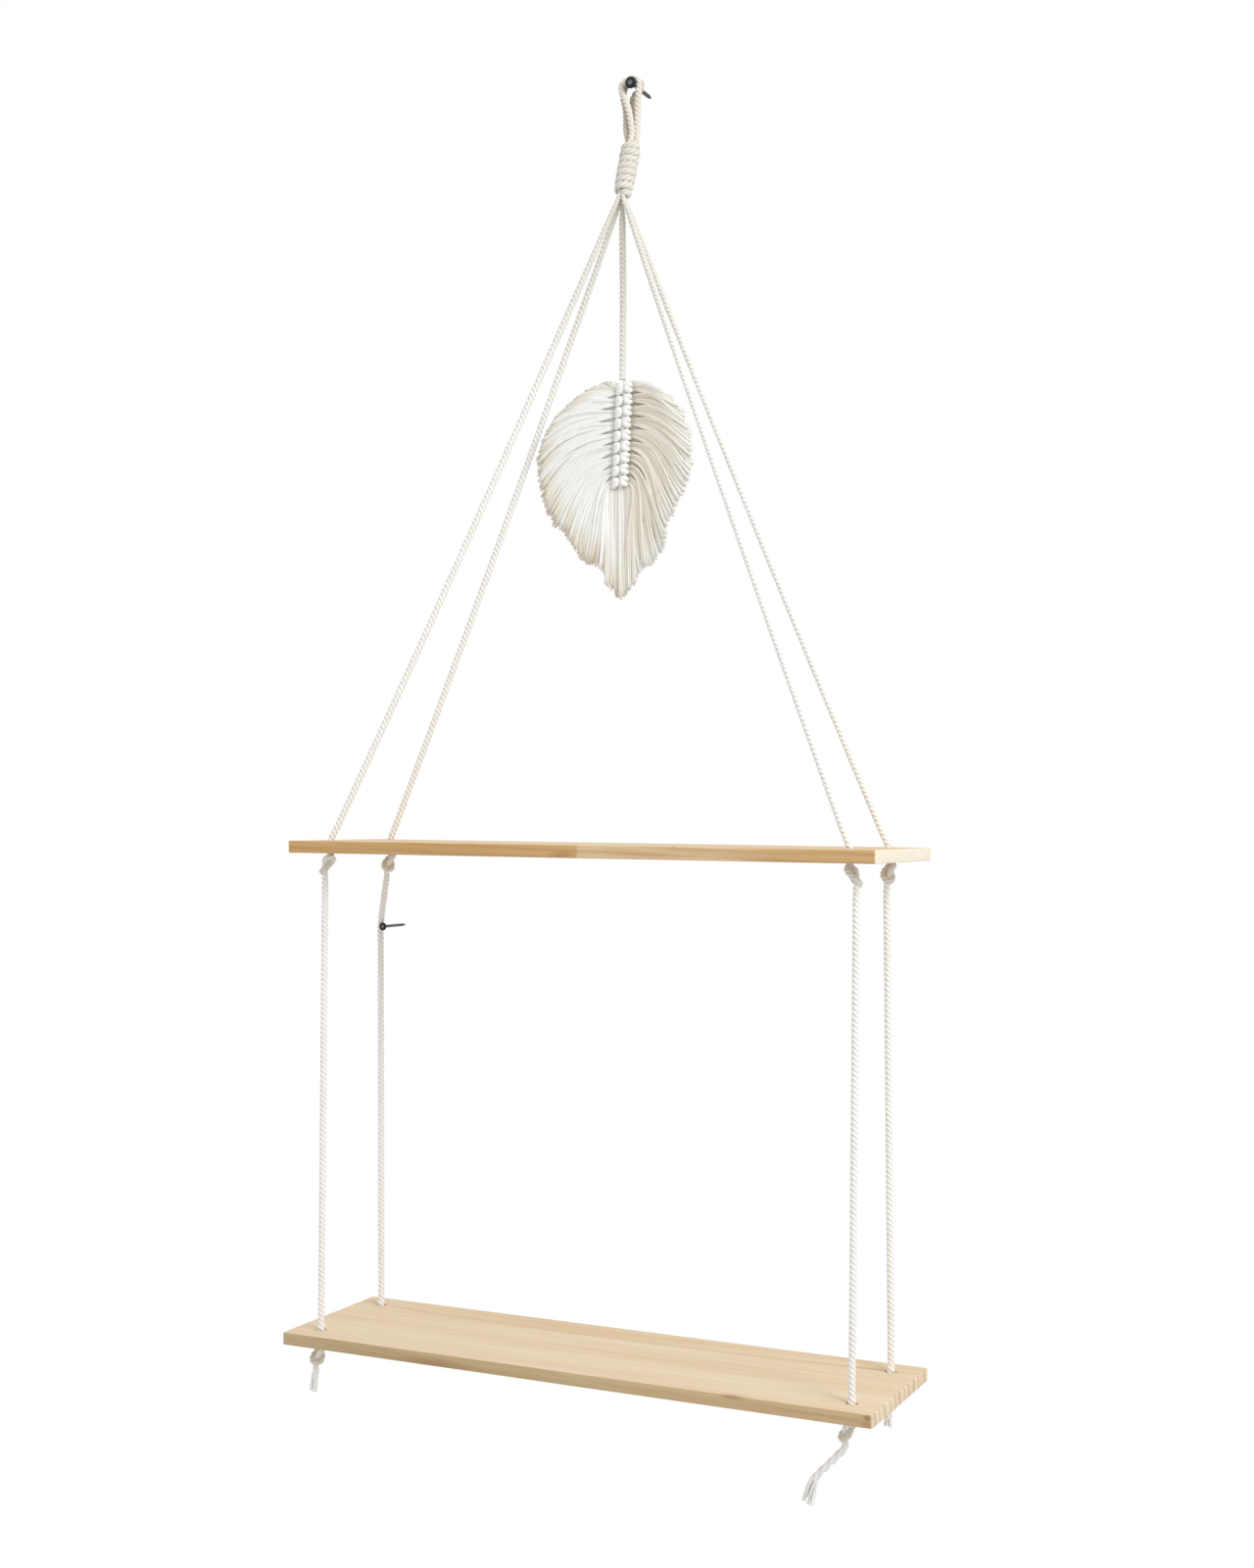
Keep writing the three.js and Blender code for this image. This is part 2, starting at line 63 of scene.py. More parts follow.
def setCamera():
    yaw, pitch, roll = view["yaw"], view["pitch"], view["roll"]
    ahead = Vector((-math.sin(yaw) * math.cos(pitch), math.cos(yaw) * math.cos(pitch), math.sin(pitch)))
    right = Vector((math.cos(yaw), math.sin(yaw), 0))
    above = right.cross(ahead)
    across = math.cos(roll) * right + math.sin(roll) * above
    upward = math.cos(roll) * above - math.sin(roll) * right
    lens = bpy.data.cameras.new("shelfCamera")
    lens.lens, lens.sensor_width = view["lens"], view["sensor"]
    lens.clip_start, lens.clip_end = view["near"], view["far"]
    camera = bpy.data.objects.new("shelfCamera", lens)
    turned = Matrix((across, upward, -ahead)).transposed().to_4x4()
    turned.translation = view["place"]
    camera.matrix_world = turned
    scene.collection.objects.link(camera)
    scene.camera = camera


setCamera()
print("camera set")


# A wire is one value in a material, and sums on wires add Math nodes
class Wire:
    def __init__(self, finish, socket):
        self.finish, self.socket = finish, socket

    def maths(self, operation, first, second=0.0):
        return self.finish.add("ShaderNodeMath", {"operation": operation}, {0: first, 1: second})

    def __add__(self, other): return self.maths("ADD", self, other)
    def __radd__(self, other): return self.maths("ADD", other, self)
    def __sub__(self, other): return self.maths("SUBTRACT", self, other)
    def __rsub__(self, other): return self.maths("SUBTRACT", other, self)
    def __mul__(self, other): return self.maths("MULTIPLY", self, other)
    def __rmul__(self, other): return self.maths("MULTIPLY", other, self)
    def __truediv__(self, other): return self.maths("DIVIDE", self, other)
    def __pow__(self, other): return self.maths("POWER", self, other)
    def __abs__(self): return self.maths("ABSOLUTE", self)


# A finish is the node tree of one material, or of the world
class Finish:
    def __init__(self, name, holder=None):
        self.holder = holder or bpy.data.materials.new(name)
        self.holder.use_nodes = True
        self.tree = self.holder.node_tree
        self.tree.nodes.clear()

    def add(self, kind, settings=None, values=None, out=0):
        node = self.tree.nodes.new(kind)
        for key, value in (settings or {}).items():
            setattr(node, key, value)
        for key, value in (values or {}).items():
            if isinstance(value, Wire):
                self.tree.links.new(value.socket, node.inputs[key])
            else:
                node.inputs[key].default_value = value
        return Wire(self, node.outputs[out]) if node.outputs else node

    def stored(self, name, out="Fac"):
        return self.add("ShaderNodeAttribute", {"attribute_name": name}, out=out)

    def axes(self, place):
        whole = self.add("ShaderNodeSeparateXYZ", None, {0: place})
        return [Wire(self, socket) for socket in whole.socket.node.outputs]

    def point(self, x, y, z):
        return self.add("ShaderNodeCombineXYZ", None, {0: x, 1: y, 2: z})

    def cloud(self, place, scale, detail=2.0, rough=0.5):
        values = {"Vector": place, "Scale": scale, "Detail": detail, "Roughness": rough}
        return self.add("ShaderNodeTexNoise", None, values)

    def grain(self, axes, scales, detail=2.0, rough=0.5):    # noise drawn out by a scale for each axis
        return self.cloud(self.point(*(axis * scale for axis, scale in zip(axes, scales))), 1.0, detail, rough)

    def shift(self, value, low, high, newLow=0.0, newHigh=1.0):
        ends = {"From Min": low, "From Max": high, "To Min": newLow, "To Max": newHigh}
        return self.add("ShaderNodeMapRange", {"clamp": True}, {"Value": value, **ends})

    def blend(self, share, first, second, kind="MIX"):
        pair = {6: first, 7: second}
        colours = {key: value if isinstance(value, Wire) else (*value, 1) for key, value in pair.items()}
        return self.add("ShaderNodeMix", {"data_type": "RGBA", "blend_type": kind}, {0: share, **colours}, 2)

    def bumped(self, height, distance):
        return self.add("ShaderNodeBump", None, {"Height": height, "Distance": distance})

    def surface(self, values):
        shader = self.add("ShaderNodeBsdfPrincipled", None, values)
        self.add("ShaderNodeOutputMaterial", None, {"Surface": shader})
        return self.holder


def paint(red, green, blue):     # a colour as the eye sees it, 0 to 255, in the renderer's own values
    return tuple(((part / 255 + 0.055) / 1.055) ** 2.4 for part in (red, green, blue))


# Pieces
def addPiece(name, points, faces, body, slot, finish, stored=None, stands=(), smooth=True):
    mesh = bpy.data.meshes.new(name)
    mesh.from_pydata([tuple(point) for point in points], [], faces)
    for key, values in (stored or {}).items():
        values = np.asarray(values, dtype=np.float32)
        kind, field = ("FLOAT_VECTOR", "vector") if values.ndim == 2 else ("FLOAT", "value")
        mesh.attributes.new(key, kind, "POINT").data.foreach_set(field, values.ravel())
    flags = smooth if isinstance(smooth, list) else [smooth] * len(faces)
    mesh.polygons.foreach_set("use_smooth", flags)
    mesh.materials.append(finish)
    mesh.update()
    piece = bpy.data.objects.new(name, mesh)
    scene.collection.objects.link(piece)
    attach(piece, body)
    if stands:
        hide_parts(*stands)
    return piece


def ringFaces(first, rings, sides):    # the quads between rings of points, each ring with as many sides
    faces = []
    for here in range(first, first + (rings - 1) * sides, sides):
        for side in range(sides):
            after = (side + 1) % sides
            faces.append((here + side, here + after, here + sides + after, here + sides + side))
    return faces


def endFaces(first, rings, sides):     # the two faces that close the rings' ends
    last = first + (rings - 1) * sides
    return [tuple(reversed(range(first, first + sides))), tuple(range(last, last + sides))]


def lengthAlong(route):
    return np.concatenate([[0], np.cumsum(np.linalg.norm(np.diff(route, axis=0), axis=1))])


def headings(route):
    tangents = np.gradient(route, axis=0)
    return tangents / np.linalg.norm(tangents, axis=1)[:, None]


def vary(spread):    # a chance amount either way
    return chance.uniform(-spread, spread)


def evenly(route, gap):
    along = lengthAlong(route)
    steps = max(int(math.ceil(along[-1] / gap)), 2)
    wanted = np.linspace(0, along[-1], steps + 1)
    return np.column_stack([np.interp(wanted, along, route[:, axis]) for axis in range(3)])


def smoothRoute(points, gap, finely=20):    # a centripetal curve through the points, in even steps
    points = np.array([list(point) for point in points], dtype=float)
    ends = 2 * points[0] - points[1], 2 * points[-1] - points[-2]
    padded = np.vstack([ends[0], points, ends[1]])
    fine = []
    for before, start, end, after in zip(padded, padded[1:], padded[2:], padded[3:]):
        pairs = (before, start), (start, end), (end, after)
        first, middle, last = (np.linalg.norm(b - a) ** 0.5 for a, b in pairs)
        leave = ((start - before) / first - (end - before) / (first + middle) + (end - start) / middle) * middle
        arrive = ((end - start) / middle - (after - start) / (middle + last) + (after - end) / last) * middle
        for share in np.linspace(0, 1, finely, endpoint=False):
            square, cube = share ** 2, share ** 3
            here = (2 * cube - 3 * square + 1) * start + (3 * square - 2 * cube) * end
            fine.append(here + (cube - 2 * square + share) * leave + (cube - square) * arrive)
    fine.append(points[-1])
    return evenly(np.array(fine), gap)


def carried(route, first=(0.31, -0.95, 0.05)):    # a direction across the route, carried along without twisting
    tangents = headings(route)
    across = np.array(first, dtype=float)
    rows = []
    for tangent in tangents:
        across = across - tangent * across.dot(tangent)
        across = across / np.linalg.norm(across)
        rows.append(across)
    rows = np.array(rows)
    return rows, np.cross(tangents, rows)


# Tubes gathers many tubes of cord or strand into one piece, and stores for the materials: cordPlace, a place in
# the cord pulled straight; groove, 1 between two strands; tint, 0.5 for plain cotton, lower for painted shade, varied
# a little for the cotton's own tone; left, the length still to run
class Tubes:
    def __init__(self):
        self.points, self.faces, self.place, self.groove, self.tint, self.left = [], [], [], [], [], []

    def add(self, route, frames, section, radii, turns=None, flat=(1, 1), tint=0.5, start=0.0):
        across, upward = frames
        sides, rings, first = len(section), len(route), len(self.points)
        along = start + lengthAlong(route)
        turns = np.zeros(rings) if turns is None else turns
        radii, tint = np.broadcast_to(radii, rings), np.broadcast_to(tint, rings)
        hollow = (1 - section) / max(1 - section.min(), 1e-6)
        for ring in range(rings):
            angles = turns[ring] + 2 * math.pi * np.arange(sides) / sides
            sideways = np.cos(angles) * section * radii[ring] * flat[0]
            upwards = np.sin(angles) * section * radii[ring] * flat[1]
            offsets = sideways[:, None] * across[ring] + upwards[:, None] * upward[ring]
            self.points.extend(route[ring] + offsets)
            self.place.extend(np.column_stack([sideways, upwards, np.full(sides, along[ring])]))
            self.groove.extend(hollow)
            self.tint.extend([tint[ring]] * sides)
            self.left.extend([along[-1] - along[ring]] * sides)
        self.faces += ringFaces(first, rings, sides) + endFaces(first, rings, sides)

    def finish(self, name, body, slot, finish, stands=()):
        stored = {"cordPlace": self.place, "groove": self.groove, "tint": self.tint, "left": self.left}
        return addPiece(name, self.points, self.faces, body, slot, finish, stored, stands)


# Rope: three strands laid to the left
rope = dict(radius=0.0024, lay=0.0102, ringGap=0.00066, sides=18, strandOffset=0.4)


def strandSection(sides, offset):    # the outline of three round strands, as shares of the rope's radius
    angles = 2 * math.pi * np.arange(sides) / sides
    aside = (angles + math.pi / 3) % (2 * math.pi / 3) - math.pi / 3
    strand = 1 - offset
    return offset * np.cos(aside) + np.sqrt(strand ** 2 - (offset * np.sin(aside)) ** 2)


ropeSection = strandSection(rope["sides"], rope["strandOffset"])
plainSection = np.ones(6)     # a single strand has six sides
softSection = np.ones(12)     # and a soft round cord has twelve


def ropeTurns(route, start=0.0):
    return -2 * math.pi * (lengthAlong(route) + start) / rope["lay"]


cotton = dict(
    fibres=(5200, 5200, 520), yarns=(1500, 1500, 170), blotches=(60, 60, 42), toneAndShade=(0.66, 0.61, 0.53),
    dustAndShade=(0.62, 0.57, 0.48), dustAndShadeFrom=-0.24, dustAndShadeTo=-0.09,
)
softSheen = {"Sheen Weight": 0.25, "Sheen Roughness": 0.5, "Specular IOR Level": 0.2}


def cottonFinish(name, cream, shade, bumpDepth, dustAndShadeShare=0.0):    # the last argument darkens it towards the nail: painted shade under the binding, partly dust
    finish = Finish(name)
    place = finish.axes(finish.stored("cordPlace", "Vector"))
    height = finish.axes(finish.add("ShaderNodeTexCoord", out="Object"))[2]
    fibres = finish.grain(place, cotton["fibres"], 3.0, 0.6)
    yarns, blotches = finish.grain(place, cotton["yarns"]), finish.grain(place, cotton["blotches"])
    warm = finish.shift(blotches * 0.5 + yarns * 0.3 + fibres * 0.2, 0.36, 0.64)
    colour = finish.blend(warm * 0.3, cream, shade)
    # painted shade in the grooves between strands
    colour = finish.blend(finish.stored("groove") ** 1.6 * 0.42, colour, shade)
    # low tints are painted shade, on the knots and the loop's rear bight; the fibre specks and small tint changes are
    # the cotton's own tone
    toneAndShade = (0.5 - finish.stored("tint")) * 0.5 + fibres * 0.06
    colour = finish.blend(toneAndShade, colour, cotton["toneAndShade"], "MULTIPLY")
    # painted shade towards the nail, under the binding, and on the ropes partly dust
    dustAndShade = finish.shift(height, cotton["dustAndShadeFrom"], cotton["dustAndShadeTo"]) * dustAndShadeShare
    colour = finish.blend(dustAndShade, colour, cotton["dustAndShade"], "MULTIPLY")
    bump = finish.bumped(yarns * 0.55 + fibres * 0.45, bumpDepth)
    return finish.surface({"Base Color": colour, "Roughness": 0.92, "Normal": bump, **softSheen})


# the twisted ropes and the feather cord darken towards the nail: painted shade under the binding, and on the ropes
# partly dust
ropeFinish = cottonFinish("twistedCotton", paint(251, 250, 247), paint(221, 217, 208), 0.0002, 0.45)
cordFinish = cottonFinish("shadedCotton", paint(251, 250, 247), paint(221, 217, 208), 0.0002, 0.7)
softFinish = cottonFinish("softCotton", paint(252, 252, 250), paint(240, 238, 233), 0.00006)
# the binding's darker cream and shade are painted shade, standing in for the shade on its side away from the lamp
boundFinish = cottonFinish("boundCotton", paint(232, 228, 220), paint(184, 175, 158), 0.00018)
# the loop's darker cream and brown shade are painted shade, on its legs and between them
loopFinish = cottonFinish("loopShadeCotton", paint(243, 239, 230), paint(178, 166, 143), 0.0002)
print("rope finishes mixed")

# Boards, their rope holes and the places that follow
board = dict(
    length=0.43, depth=0.117, thickness=0.0085, cornerRadius=0.0016, leastRadius=0.0004, cornerSteps=6,
    roundover=0.0008, roundoverSteps=4, centreY=-0.059, upperTop=-0.534, lowerTop=-0.877, holeRadius=0.0038,
    holeSides=28, holeRunY=0.0395, upperHoleX=0.192, lowerHoleX=0.1956,
)
# Run and lean are the tail's below its knot, tuft and flare are its frayed end's length and half width
backTail = dict(upperTurn=0.25, lowerTurn=0.25, run=0.002, lean=0.2, tuft=0.005, flare=0.0026)
corners = dict(
    frontLeft=dict(sides=(-1, -1), node="front_left", upperTurn=0.0, lowerTurn=0.2, run=0.006, lean=0.2, tuft=0.009,
        flare=0.0027),
    backLeft=dict(sides=(-1, 1), node="back_left", **backTail),
    frontRight=dict(sides=(1, -1), node="front_right", upperTurn=0.5, lowerTurn=0.02, run=0.03, lean=0.66,
        tuft=0.016, flare=0.0043),
    backRight=dict(sides=(1, 1), node="back_right", **backTail),
)

# The binding leans between its foot and its top
binding = dict(
    foot=(-0.002, -0.029, -0.0825), top=(0.001, -0.0203, -0.0435), pitch=0.005, cordWidth=0.0056,
    cordThickness=0.0033, bodyRadius=0.0056, footRadius=0.0045, endRun=0.0026, ringsPerTurn=44, tuckRings=8,
    tuckDepth=0.0022, wobble=0.00018,
)
bindingFoot = Vector(binding["foot"])
bindingRun = (Vector(binding["top"]) - bindingFoot).length
bindingLean = Vector((0, 0, 1)).rotation_difference(Vector(binding["top"]) - bindingFoot)


def besideBinding(x, y, rise):
    return bindingFoot + bindingLean @ Vector((x, y, rise))


# An overhand knot, in rope diameters: half of the rope's way through it, from the knot's middle. The rest is alike
knot = dict(
    diameter=0.004176, straightFrom=1.3, leaving=0.00144,
    half=[(0, 1.56, 0), (0.86, 1.38, 0.44), (1.59, 0.7, 0.94), (1.48, -0.33, 1.27), (0.55, -0.88, 1.11),
        (-0.33, -0.63, 0.49), (-0.62, -0.04, -0.41), (-0.61, 0.38, -1.46), (-0.5, 0.38, -1.85)],
)


def knotPoints(seat, turn, tight):    # the knot hangs from its seat under a board, drawn in by tight
    endX, endY, endZ = knot["half"][-1]
    half = []
    for x, y, z in knot["half"]:
        pulled = (x * tight, endY + (y - endY) * tight, z)
        half.append((x, y, z) if abs(z) > knot["straightFrom"] else pulled)
    places = [(-x, y, -z) for x, y, z in reversed(half[1:])] + half
    spin = Matrix.Rotation(turn * 2 * math.pi, 3, "Z")
    points = [seat + spin @ (Vector((x + endX, y - endY, z + endZ)) * knot["diameter"]) for x, y, z in places]
    return points + [points[-1] - Vector((0, 0, knot["leaving"]))]


def leaned(place, length, lean):    # further down a rope that leans to the left by a share of its length
    return place - Vector((length * lean, 0, length * math.sqrt(1 - lean ** 2)))


def holePlace(sides, x, z):
    return Vector((sides[0] * x, board["centreY"] + sides[1] * board["holeRunY"], z))


# Each corner's rope is one route from the binding to its tail, cut where the bodies meet. Its radii, as shares of
# the rope's, and its tints are given at lengths past the route's marks. The knots' low tints are painted shade under
# the boards, darker than the ropes
ropeRun = dict(
    gather=0.00172, insideRises=(0.036, 0.022, 0.01), startDrop=0.00144, sag=0.004,
    sagShares=(0.02, 0.15, 0.32, 0.5, 0.68, 0.85, 0.97), lipReach=0.00028, middleDrop=0.0042, seatGap=0.0003,
    footDrop=0.0009, bend=(-0.199, -0.0201, -0.598), joinDrop=0.0125, tailDrop=0.00189, leastCord=0.03,
    upperTight=0.6, lowerTight=0.68, slackLay=0.55,
    radii=[("top", 0, 0.7), ("start", 0, 0.728), ("start", 0.075, 1), ("hole", -0.006, 1), ("hole", 0, 0.9),
        ("upperFoot", -0.004, 0.9), ("upperFoot", 0.006, 1), ("join", -0.0085, 1), ("join", -0.0056, 1.24),
        ("join", -0.0034, 1.24), ("join", 0, 0.9), ("lowerFoot", -0.004, 0.9), ("lowerFoot", 0.006, 1),
        ("end", 0, 1)],
    tints=[("hole", -0.002, 0.5), ("hole", 0.006, -0.9), ("upperFoot", -0.02, 0.1), ("upperFoot", 0, 0.5),
        ("join", -0.004, 0.5), ("join", 0.004, -0.9), ("lowerFoot", -0.02, -0.2), ("lowerFoot", 0, 0.5)],
)


def cornerRoute(corner):
    sides, gather = corner["sides"], ropeRun["gather"]
    inner = gather * 0.9
    inside = [besideBinding(sides[0] * inner, sides[1] * inner, rise) for rise in ropeRun["insideRises"]]
    start = besideBinding(sides[0] * gather, sides[1] * gather, -ropeRun["startDrop"])
    lip = holePlace(sides, board["upperHoleX"], board["upperTop"])
    lip += Vector((start.x - lip.x, start.y - lip.y, 0)).normalized() * ropeRun["lipReach"]
    points = inside + [start]
    for share in ropeRun["sagShares"]:
        point = start.lerp(lip, share)
        point.z -= ropeRun["sag"] * 4 * share * (1 - share)
        points.append(point)
    middle = holePlace(sides, board["upperHoleX"], board["upperTop"] - ropeRun["middleDrop"])
    upperSeat = holePlace(sides, board["upperHoleX"], board["upperTop"] - board["thickness"] - ropeRun["seatGap"])
    upperKnot = knotPoints(upperSeat, corner["upperTurn"], ropeRun["upperTight"])
    leaving = upperKnot[-1] - Vector((0, 0, ropeRun["footDrop"]))
    arriving = holePlace(sides, board["lowerHoleX"], board["lowerTop"] + board["thickness"])
    points += [lip, middle] + upperKnot + [leaving]
    if corner["node"] == "back_left":    # this one is hooked behind the steady nail
        bend = Vector(ropeRun["bend"])
        points += [bend.lerp(leaving, 0.25) - Vector((0.0003, 0, 0)), bend]
        points += [bend.lerp(arriving, 0.06), bend.lerp(arriving, 0.5)]
    else:
        points += [leaving.lerp(arriving, 0.33), leaving.lerp(arriving, 0.66)]
    joinPlace = arriving - Vector((0, 0, ropeRun["joinDrop"]))
    lowerSeat = holePlace(sides, board["lowerHoleX"], board["lowerTop"] - board["thickness"] - ropeRun["seatGap"])
    lowerKnot = knotPoints(lowerSeat, corner["lowerTurn"], ropeRun["lowerTight"])
    tailTop = leaned(lowerKnot[-1], ropeRun["tailDrop"], 0)
    runEnd = leaned(tailTop, corner["run"], corner["lean"])
    tuftEnd = leaned(runEnd, corner["tuft"], corner["lean"] * 0.45)
    points += [arriving, joinPlace] + lowerKnot + [tailTop, tailTop.lerp(runEnd, 0.5), runEnd, tuftEnd]
    marks = {"start": start, "hole": middle, "upperFoot": leaving, "join": joinPlace,
             "lowerFoot": lowerKnot[-1], "runEnd": runEnd}
    return smoothRoute(points, rope["ringGap"]), marks


# A frayed end: the yarns of three cut strands, come apart and spread
frayed = dict(
    yarns=70, tones=(0.4, 0.6), inmost=0.1, uneven=0.1, shares=(0, 0.15, 0.35, 0.55, 0.78, 1), tied=0.86,
    wander=0.00016, ringGap=0.0012, radii=(0.00042, 0.00026),
)


def fray(tubes, route, across, upward, flare):
    rings, tied = len(route), rope["radius"] * frayed["tied"]
    tones = [chance.uniform(*frayed["tones"]) for strand in range(3)]
    for yarn in range(frayed["yarns"]):
        strand, out = yarn % 3, chance.uniform(frayed["inmost"], 1) ** 0.6
        angle = 2 * math.pi * strand / 3 + vary(0.8) + 0.5
        last = rings - 1 - int((chance.uniform(0, frayed["uneven"]) + 0.06 * strand) * rings)
        wave, points = chance.uniform(0, 6.28), []
        for share in frayed["shares"]:
            ring = int(round(last * share))
            opened = min(ring / rings * 1.15, 1) ** 0.8
            spread = out * (tied + (flare - tied) * opened)
            turned = angle + share * 0.2
            side = across[ring] * math.cos(turned) + upward[ring] * math.sin(turned)
            wander = np.array((math.sin(wave + share * 5), math.cos(wave * 1.7 + share * 4), 0))
            points.append(route[ring] + side * spread + wander * frayed["wander"] * share)
        hair = smoothRoute(points, frayed["ringGap"])
        radii = np.linspace(*frayed["radii"], len(hair))
        tubes.add(hair, carried(hair), plainSection, radii, tint=tones[strand] + vary(0.05))


def alongRope(along, at, stops):    # a value that changes with the length past the rope's marks
    return np.interp(along, *zip(*((at[mark] + past, value) for mark, past, value in stops)))


def makeRopes():
    for name, corner in corners.items():
        route, marks = cornerRoute(corner)
        cut = {key: int(np.argmin(np.linalg.norm(route - np.array(place), axis=1))) for key, place in marks.items()}
        along = lengthAlong(route)
        across, upward = carried(route)
        at = {"top": 0, "end": along[-1], **{key: along[ring] for key, ring in cut.items()}}
        slack = ropeRun["slackLay"] * np.maximum(along - at["lowerFoot"], 0)    # the tail's lay has opened a little
        turns = ropeTurns(route) + 2 * math.pi * slack / rope["lay"]
        waves = np.sin(along * 900 + len(name)) * np.sin(along * 310)
        radii = rope["radius"] * alongRope(along, at, ropeRun["radii"]) * (1 + 0.025 * waves)
        tints = alongRope(along, at, ropeRun["tints"])
        side, node = "left" if corner["sides"][0] < 0 else "right", corner["node"]
        upperNodes = [f"{node}_upper_rope", f"{node}_upper_knot", "gathered_core"]
        parts = {
            "UpperRope": (0, cut["upperFoot"], "upper_tier", upperNodes),
            "DropRope": (cut["upperFoot"], cut["join"], f"{side}_drop_ropes", [f"{node}_drop_rope"]),
            "LowerKnot": (cut["join"], cut["lowerFoot"], "lower_tier", [f"{node}_lower_knot"]),
            "Tail": (cut["lowerFoot"], cut["runEnd"], "lower_tier", [f"{node}_tail"]),
        }
        for part, (first, last, body, stands) in parts.items():
            run = slice(first, last + 1)
            tubes = Tubes()
            tubes.add(route[run], (across[run], upward[run]), ropeSection, radii[run], turns[run],
                      tint=tints[run], start=along[first])
            if part == "Tail":
                loose = slice(last - 2, None)
                fray(tubes, route[loose], across[loose], upward[loose], corner["flare"])
            piece = tubes.finish(name + part, body, "rope", ropeFinish, stands)


makeRopes()
print("ropes laid")

# Hanging loop: two ropes folded over the nail, side by side, and gathered into the binding. Their points are in
# millimetres, and leaving and arriving are places beside the binding's middle
loop = dict(
    radius=0.0024, pressedRadius=0.0021, heldRadius=0.0018, heldShare=0.55, heldDepth=0.007, mouthRise=0.0015,
    radiusShares=(0, 0.07, 0.14, 0.86, 0.93, 1),
    front=dict(leaving=(0.0004, -0.0034), arriving=(0.0031, -0.0003), tint=0.5, points=[(1.2, -21, -35.5),
        (0, -20.6, -27), (-2.1, -20, -18.5), (-5.3, -18.9, -10.5), (-8.3, -17.8, -4.6), (-8.8, -17.4, -0.4),
        (-5.2, -17.2, 3.2), (0, -17.2, 4.4), (3.6, -17.2, 2.6), (4.6, -17.2, -1.6), (4.3, -17.4, -9),
        (4.1, -17.7, -18.3), (4.3, -18.6, -32)]),
    # the rear bight's low tint is painted shade, as it hangs behind the front bight
    rear=dict(leaving=(-0.0032, -0.0004), arriving=(0.0008, 0.0033), tint=-0.9, points=[(-4.1, -19, -33),
        (-5.3, -16.8, -24), (-7.2, -14.4, -14.5), (-9.2, -13.2, -8), (-9.4, -12.7, -3.6), (-8.2, -12.4, 0.4),
        (-4.4, -12.3, 3.7), (0, -12.3, 4.4), (3.4, -12.3, 2.4), (3.9, -12.3, -1.2), (2.4, -12.2, -3.9),
        (-0.4, -12.1, -5.7), (-2.5, -12, -9.5), (-3, -11.9, -14), (-2.2, -12.8, -19), (-0.7, -14.2, -25),
        (1, -15.9, -32)]),
)


def makeLoop():
    tubes = Tubes()
    held, pressed, full = loop["heldRadius"], loop["pressedRadius"], loop["radius"]
    for bight in (loop["front"], loop["rear"]):
        ends = []
        for x, y in (bight["leaving"], bight["arriving"]):
            deep = besideBinding(x * loop["heldShare"], y * loop["heldShare"], bindingRun - loop["heldDepth"])
            ends.append([deep, besideBinding(x, y, bindingRun + loop["mouthRise"])])
        middle = [Vector(point) / 1000 for point in bight["points"]]
        route = smoothRoute(ends[0] + middle + ends[1][::-1], rope["ringGap"])
        share = np.linspace(0, 1, len(route))
        radii = np.interp(share, loop["radiusShares"], (held, pressed, full, full, pressed, held))
        turns = ropeTurns(route, bight["leaving"][0])
        tubes.add(route, carried(route), ropeSection, radii, turns, tint=bight["tint"])
    tubes.finish("hangingLoop", "upper_tier", "rope", loopFinish, ["hanging_loop"])


def makeBinding():    # rope wound tightly round the gathered ropes, its ends tucked in
    wound = bindingRun - 2 * binding["endRun"]
    perTurn, tuck = binding["ringsPerTurn"], binding["tuckRings"]
    rings = int(wound / binding["pitch"] * perTurn)
    route, across = [], []
    for ring in range(-tuck, rings + tuck + 1):
        turn = 2 * math.pi * ring / perTurn
        opened = min(max(ring, 0) / (perTurn * 1.5), 1)
        radius = binding["footRadius"] + (binding["bodyRadius"] - binding["footRadius"]) * opened
        radius -= binding["tuckDepth"] * (max(-ring, ring - rings, 0) / tuck) ** 1.5
        radius += binding["wobble"] * math.sin(turn * 0.37 + 1.1)
        rise = binding["endRun"] + wound * min(max(ring / rings, -0.01), 1.01)
        route.append(besideBinding(math.cos(turn) * radius, math.sin(turn) * radius, rise))
        across.append(bindingLean @ Vector((math.cos(turn), math.sin(turn), 0)))
    route = np.array([list(point) for point in route])
    tangents, across = headings(route), np.array([list(row) for row in across])
    across -= tangents * np.sum(across * tangents, axis=1)[:, None]
    across /= np.linalg.norm(across, axis=1)[:, None]
    flat = (binding["cordThickness"] / 2, binding["cordWidth"] / 2)
    frames = across, np.cross(tangents, across)
    tubes = Tubes()
    tubes.add(route, frames, ropeSection, 1.0, ropeTurns(route) * 0.8, flat)
    tubes.finish("ropeBinding", "upper_tier", "rope", boundFinish, ["rope_binding"])


makeLoop()
makeBinding()
print("loop and binding wound")

# Feather: a cord, a spine of knotted cord, and a fringe of combed strands. Its rims are in millimetres to the right
# of its top and down from it, from the spine round to the tip
feather = dict(top=(-0.002, -0.029, -0.211), rows=9, rowPitch=0.0081, rowDrop=0.0016, strandBends=14)
featherTop = np.array(feather["top"])
spineLength = feather["rows"] * feather["rowPitch"] + feather["rowDrop"]
rims = {
    -1: [(-6.5, 3.2), (-9.5, 2.6), (-13.7, 0.6), (-27, 5.4), (-40, 13), (-52.6, 24), (-62, 39), (-66, 53), (-64, 67),
         (-59, 85), (-52, 99), (-43.5, 105), (-36, 116), (-30, 123.5), (-23.6, 128), (-15, 133.5), (-6.5, 142),
         (-0.5, 150)],
    1: [(7.5, 4.6), (11, 3.4), (16, 2.2), (25, 5), (37, 12.7), (48, 24), (53, 37), (55.5, 54), (54, 67), (49.6, 79),
        (37.5, 102.5), (32.5, 121), (26.5, 129), (13, 137), (4, 145), (-0.5, 150)],
}
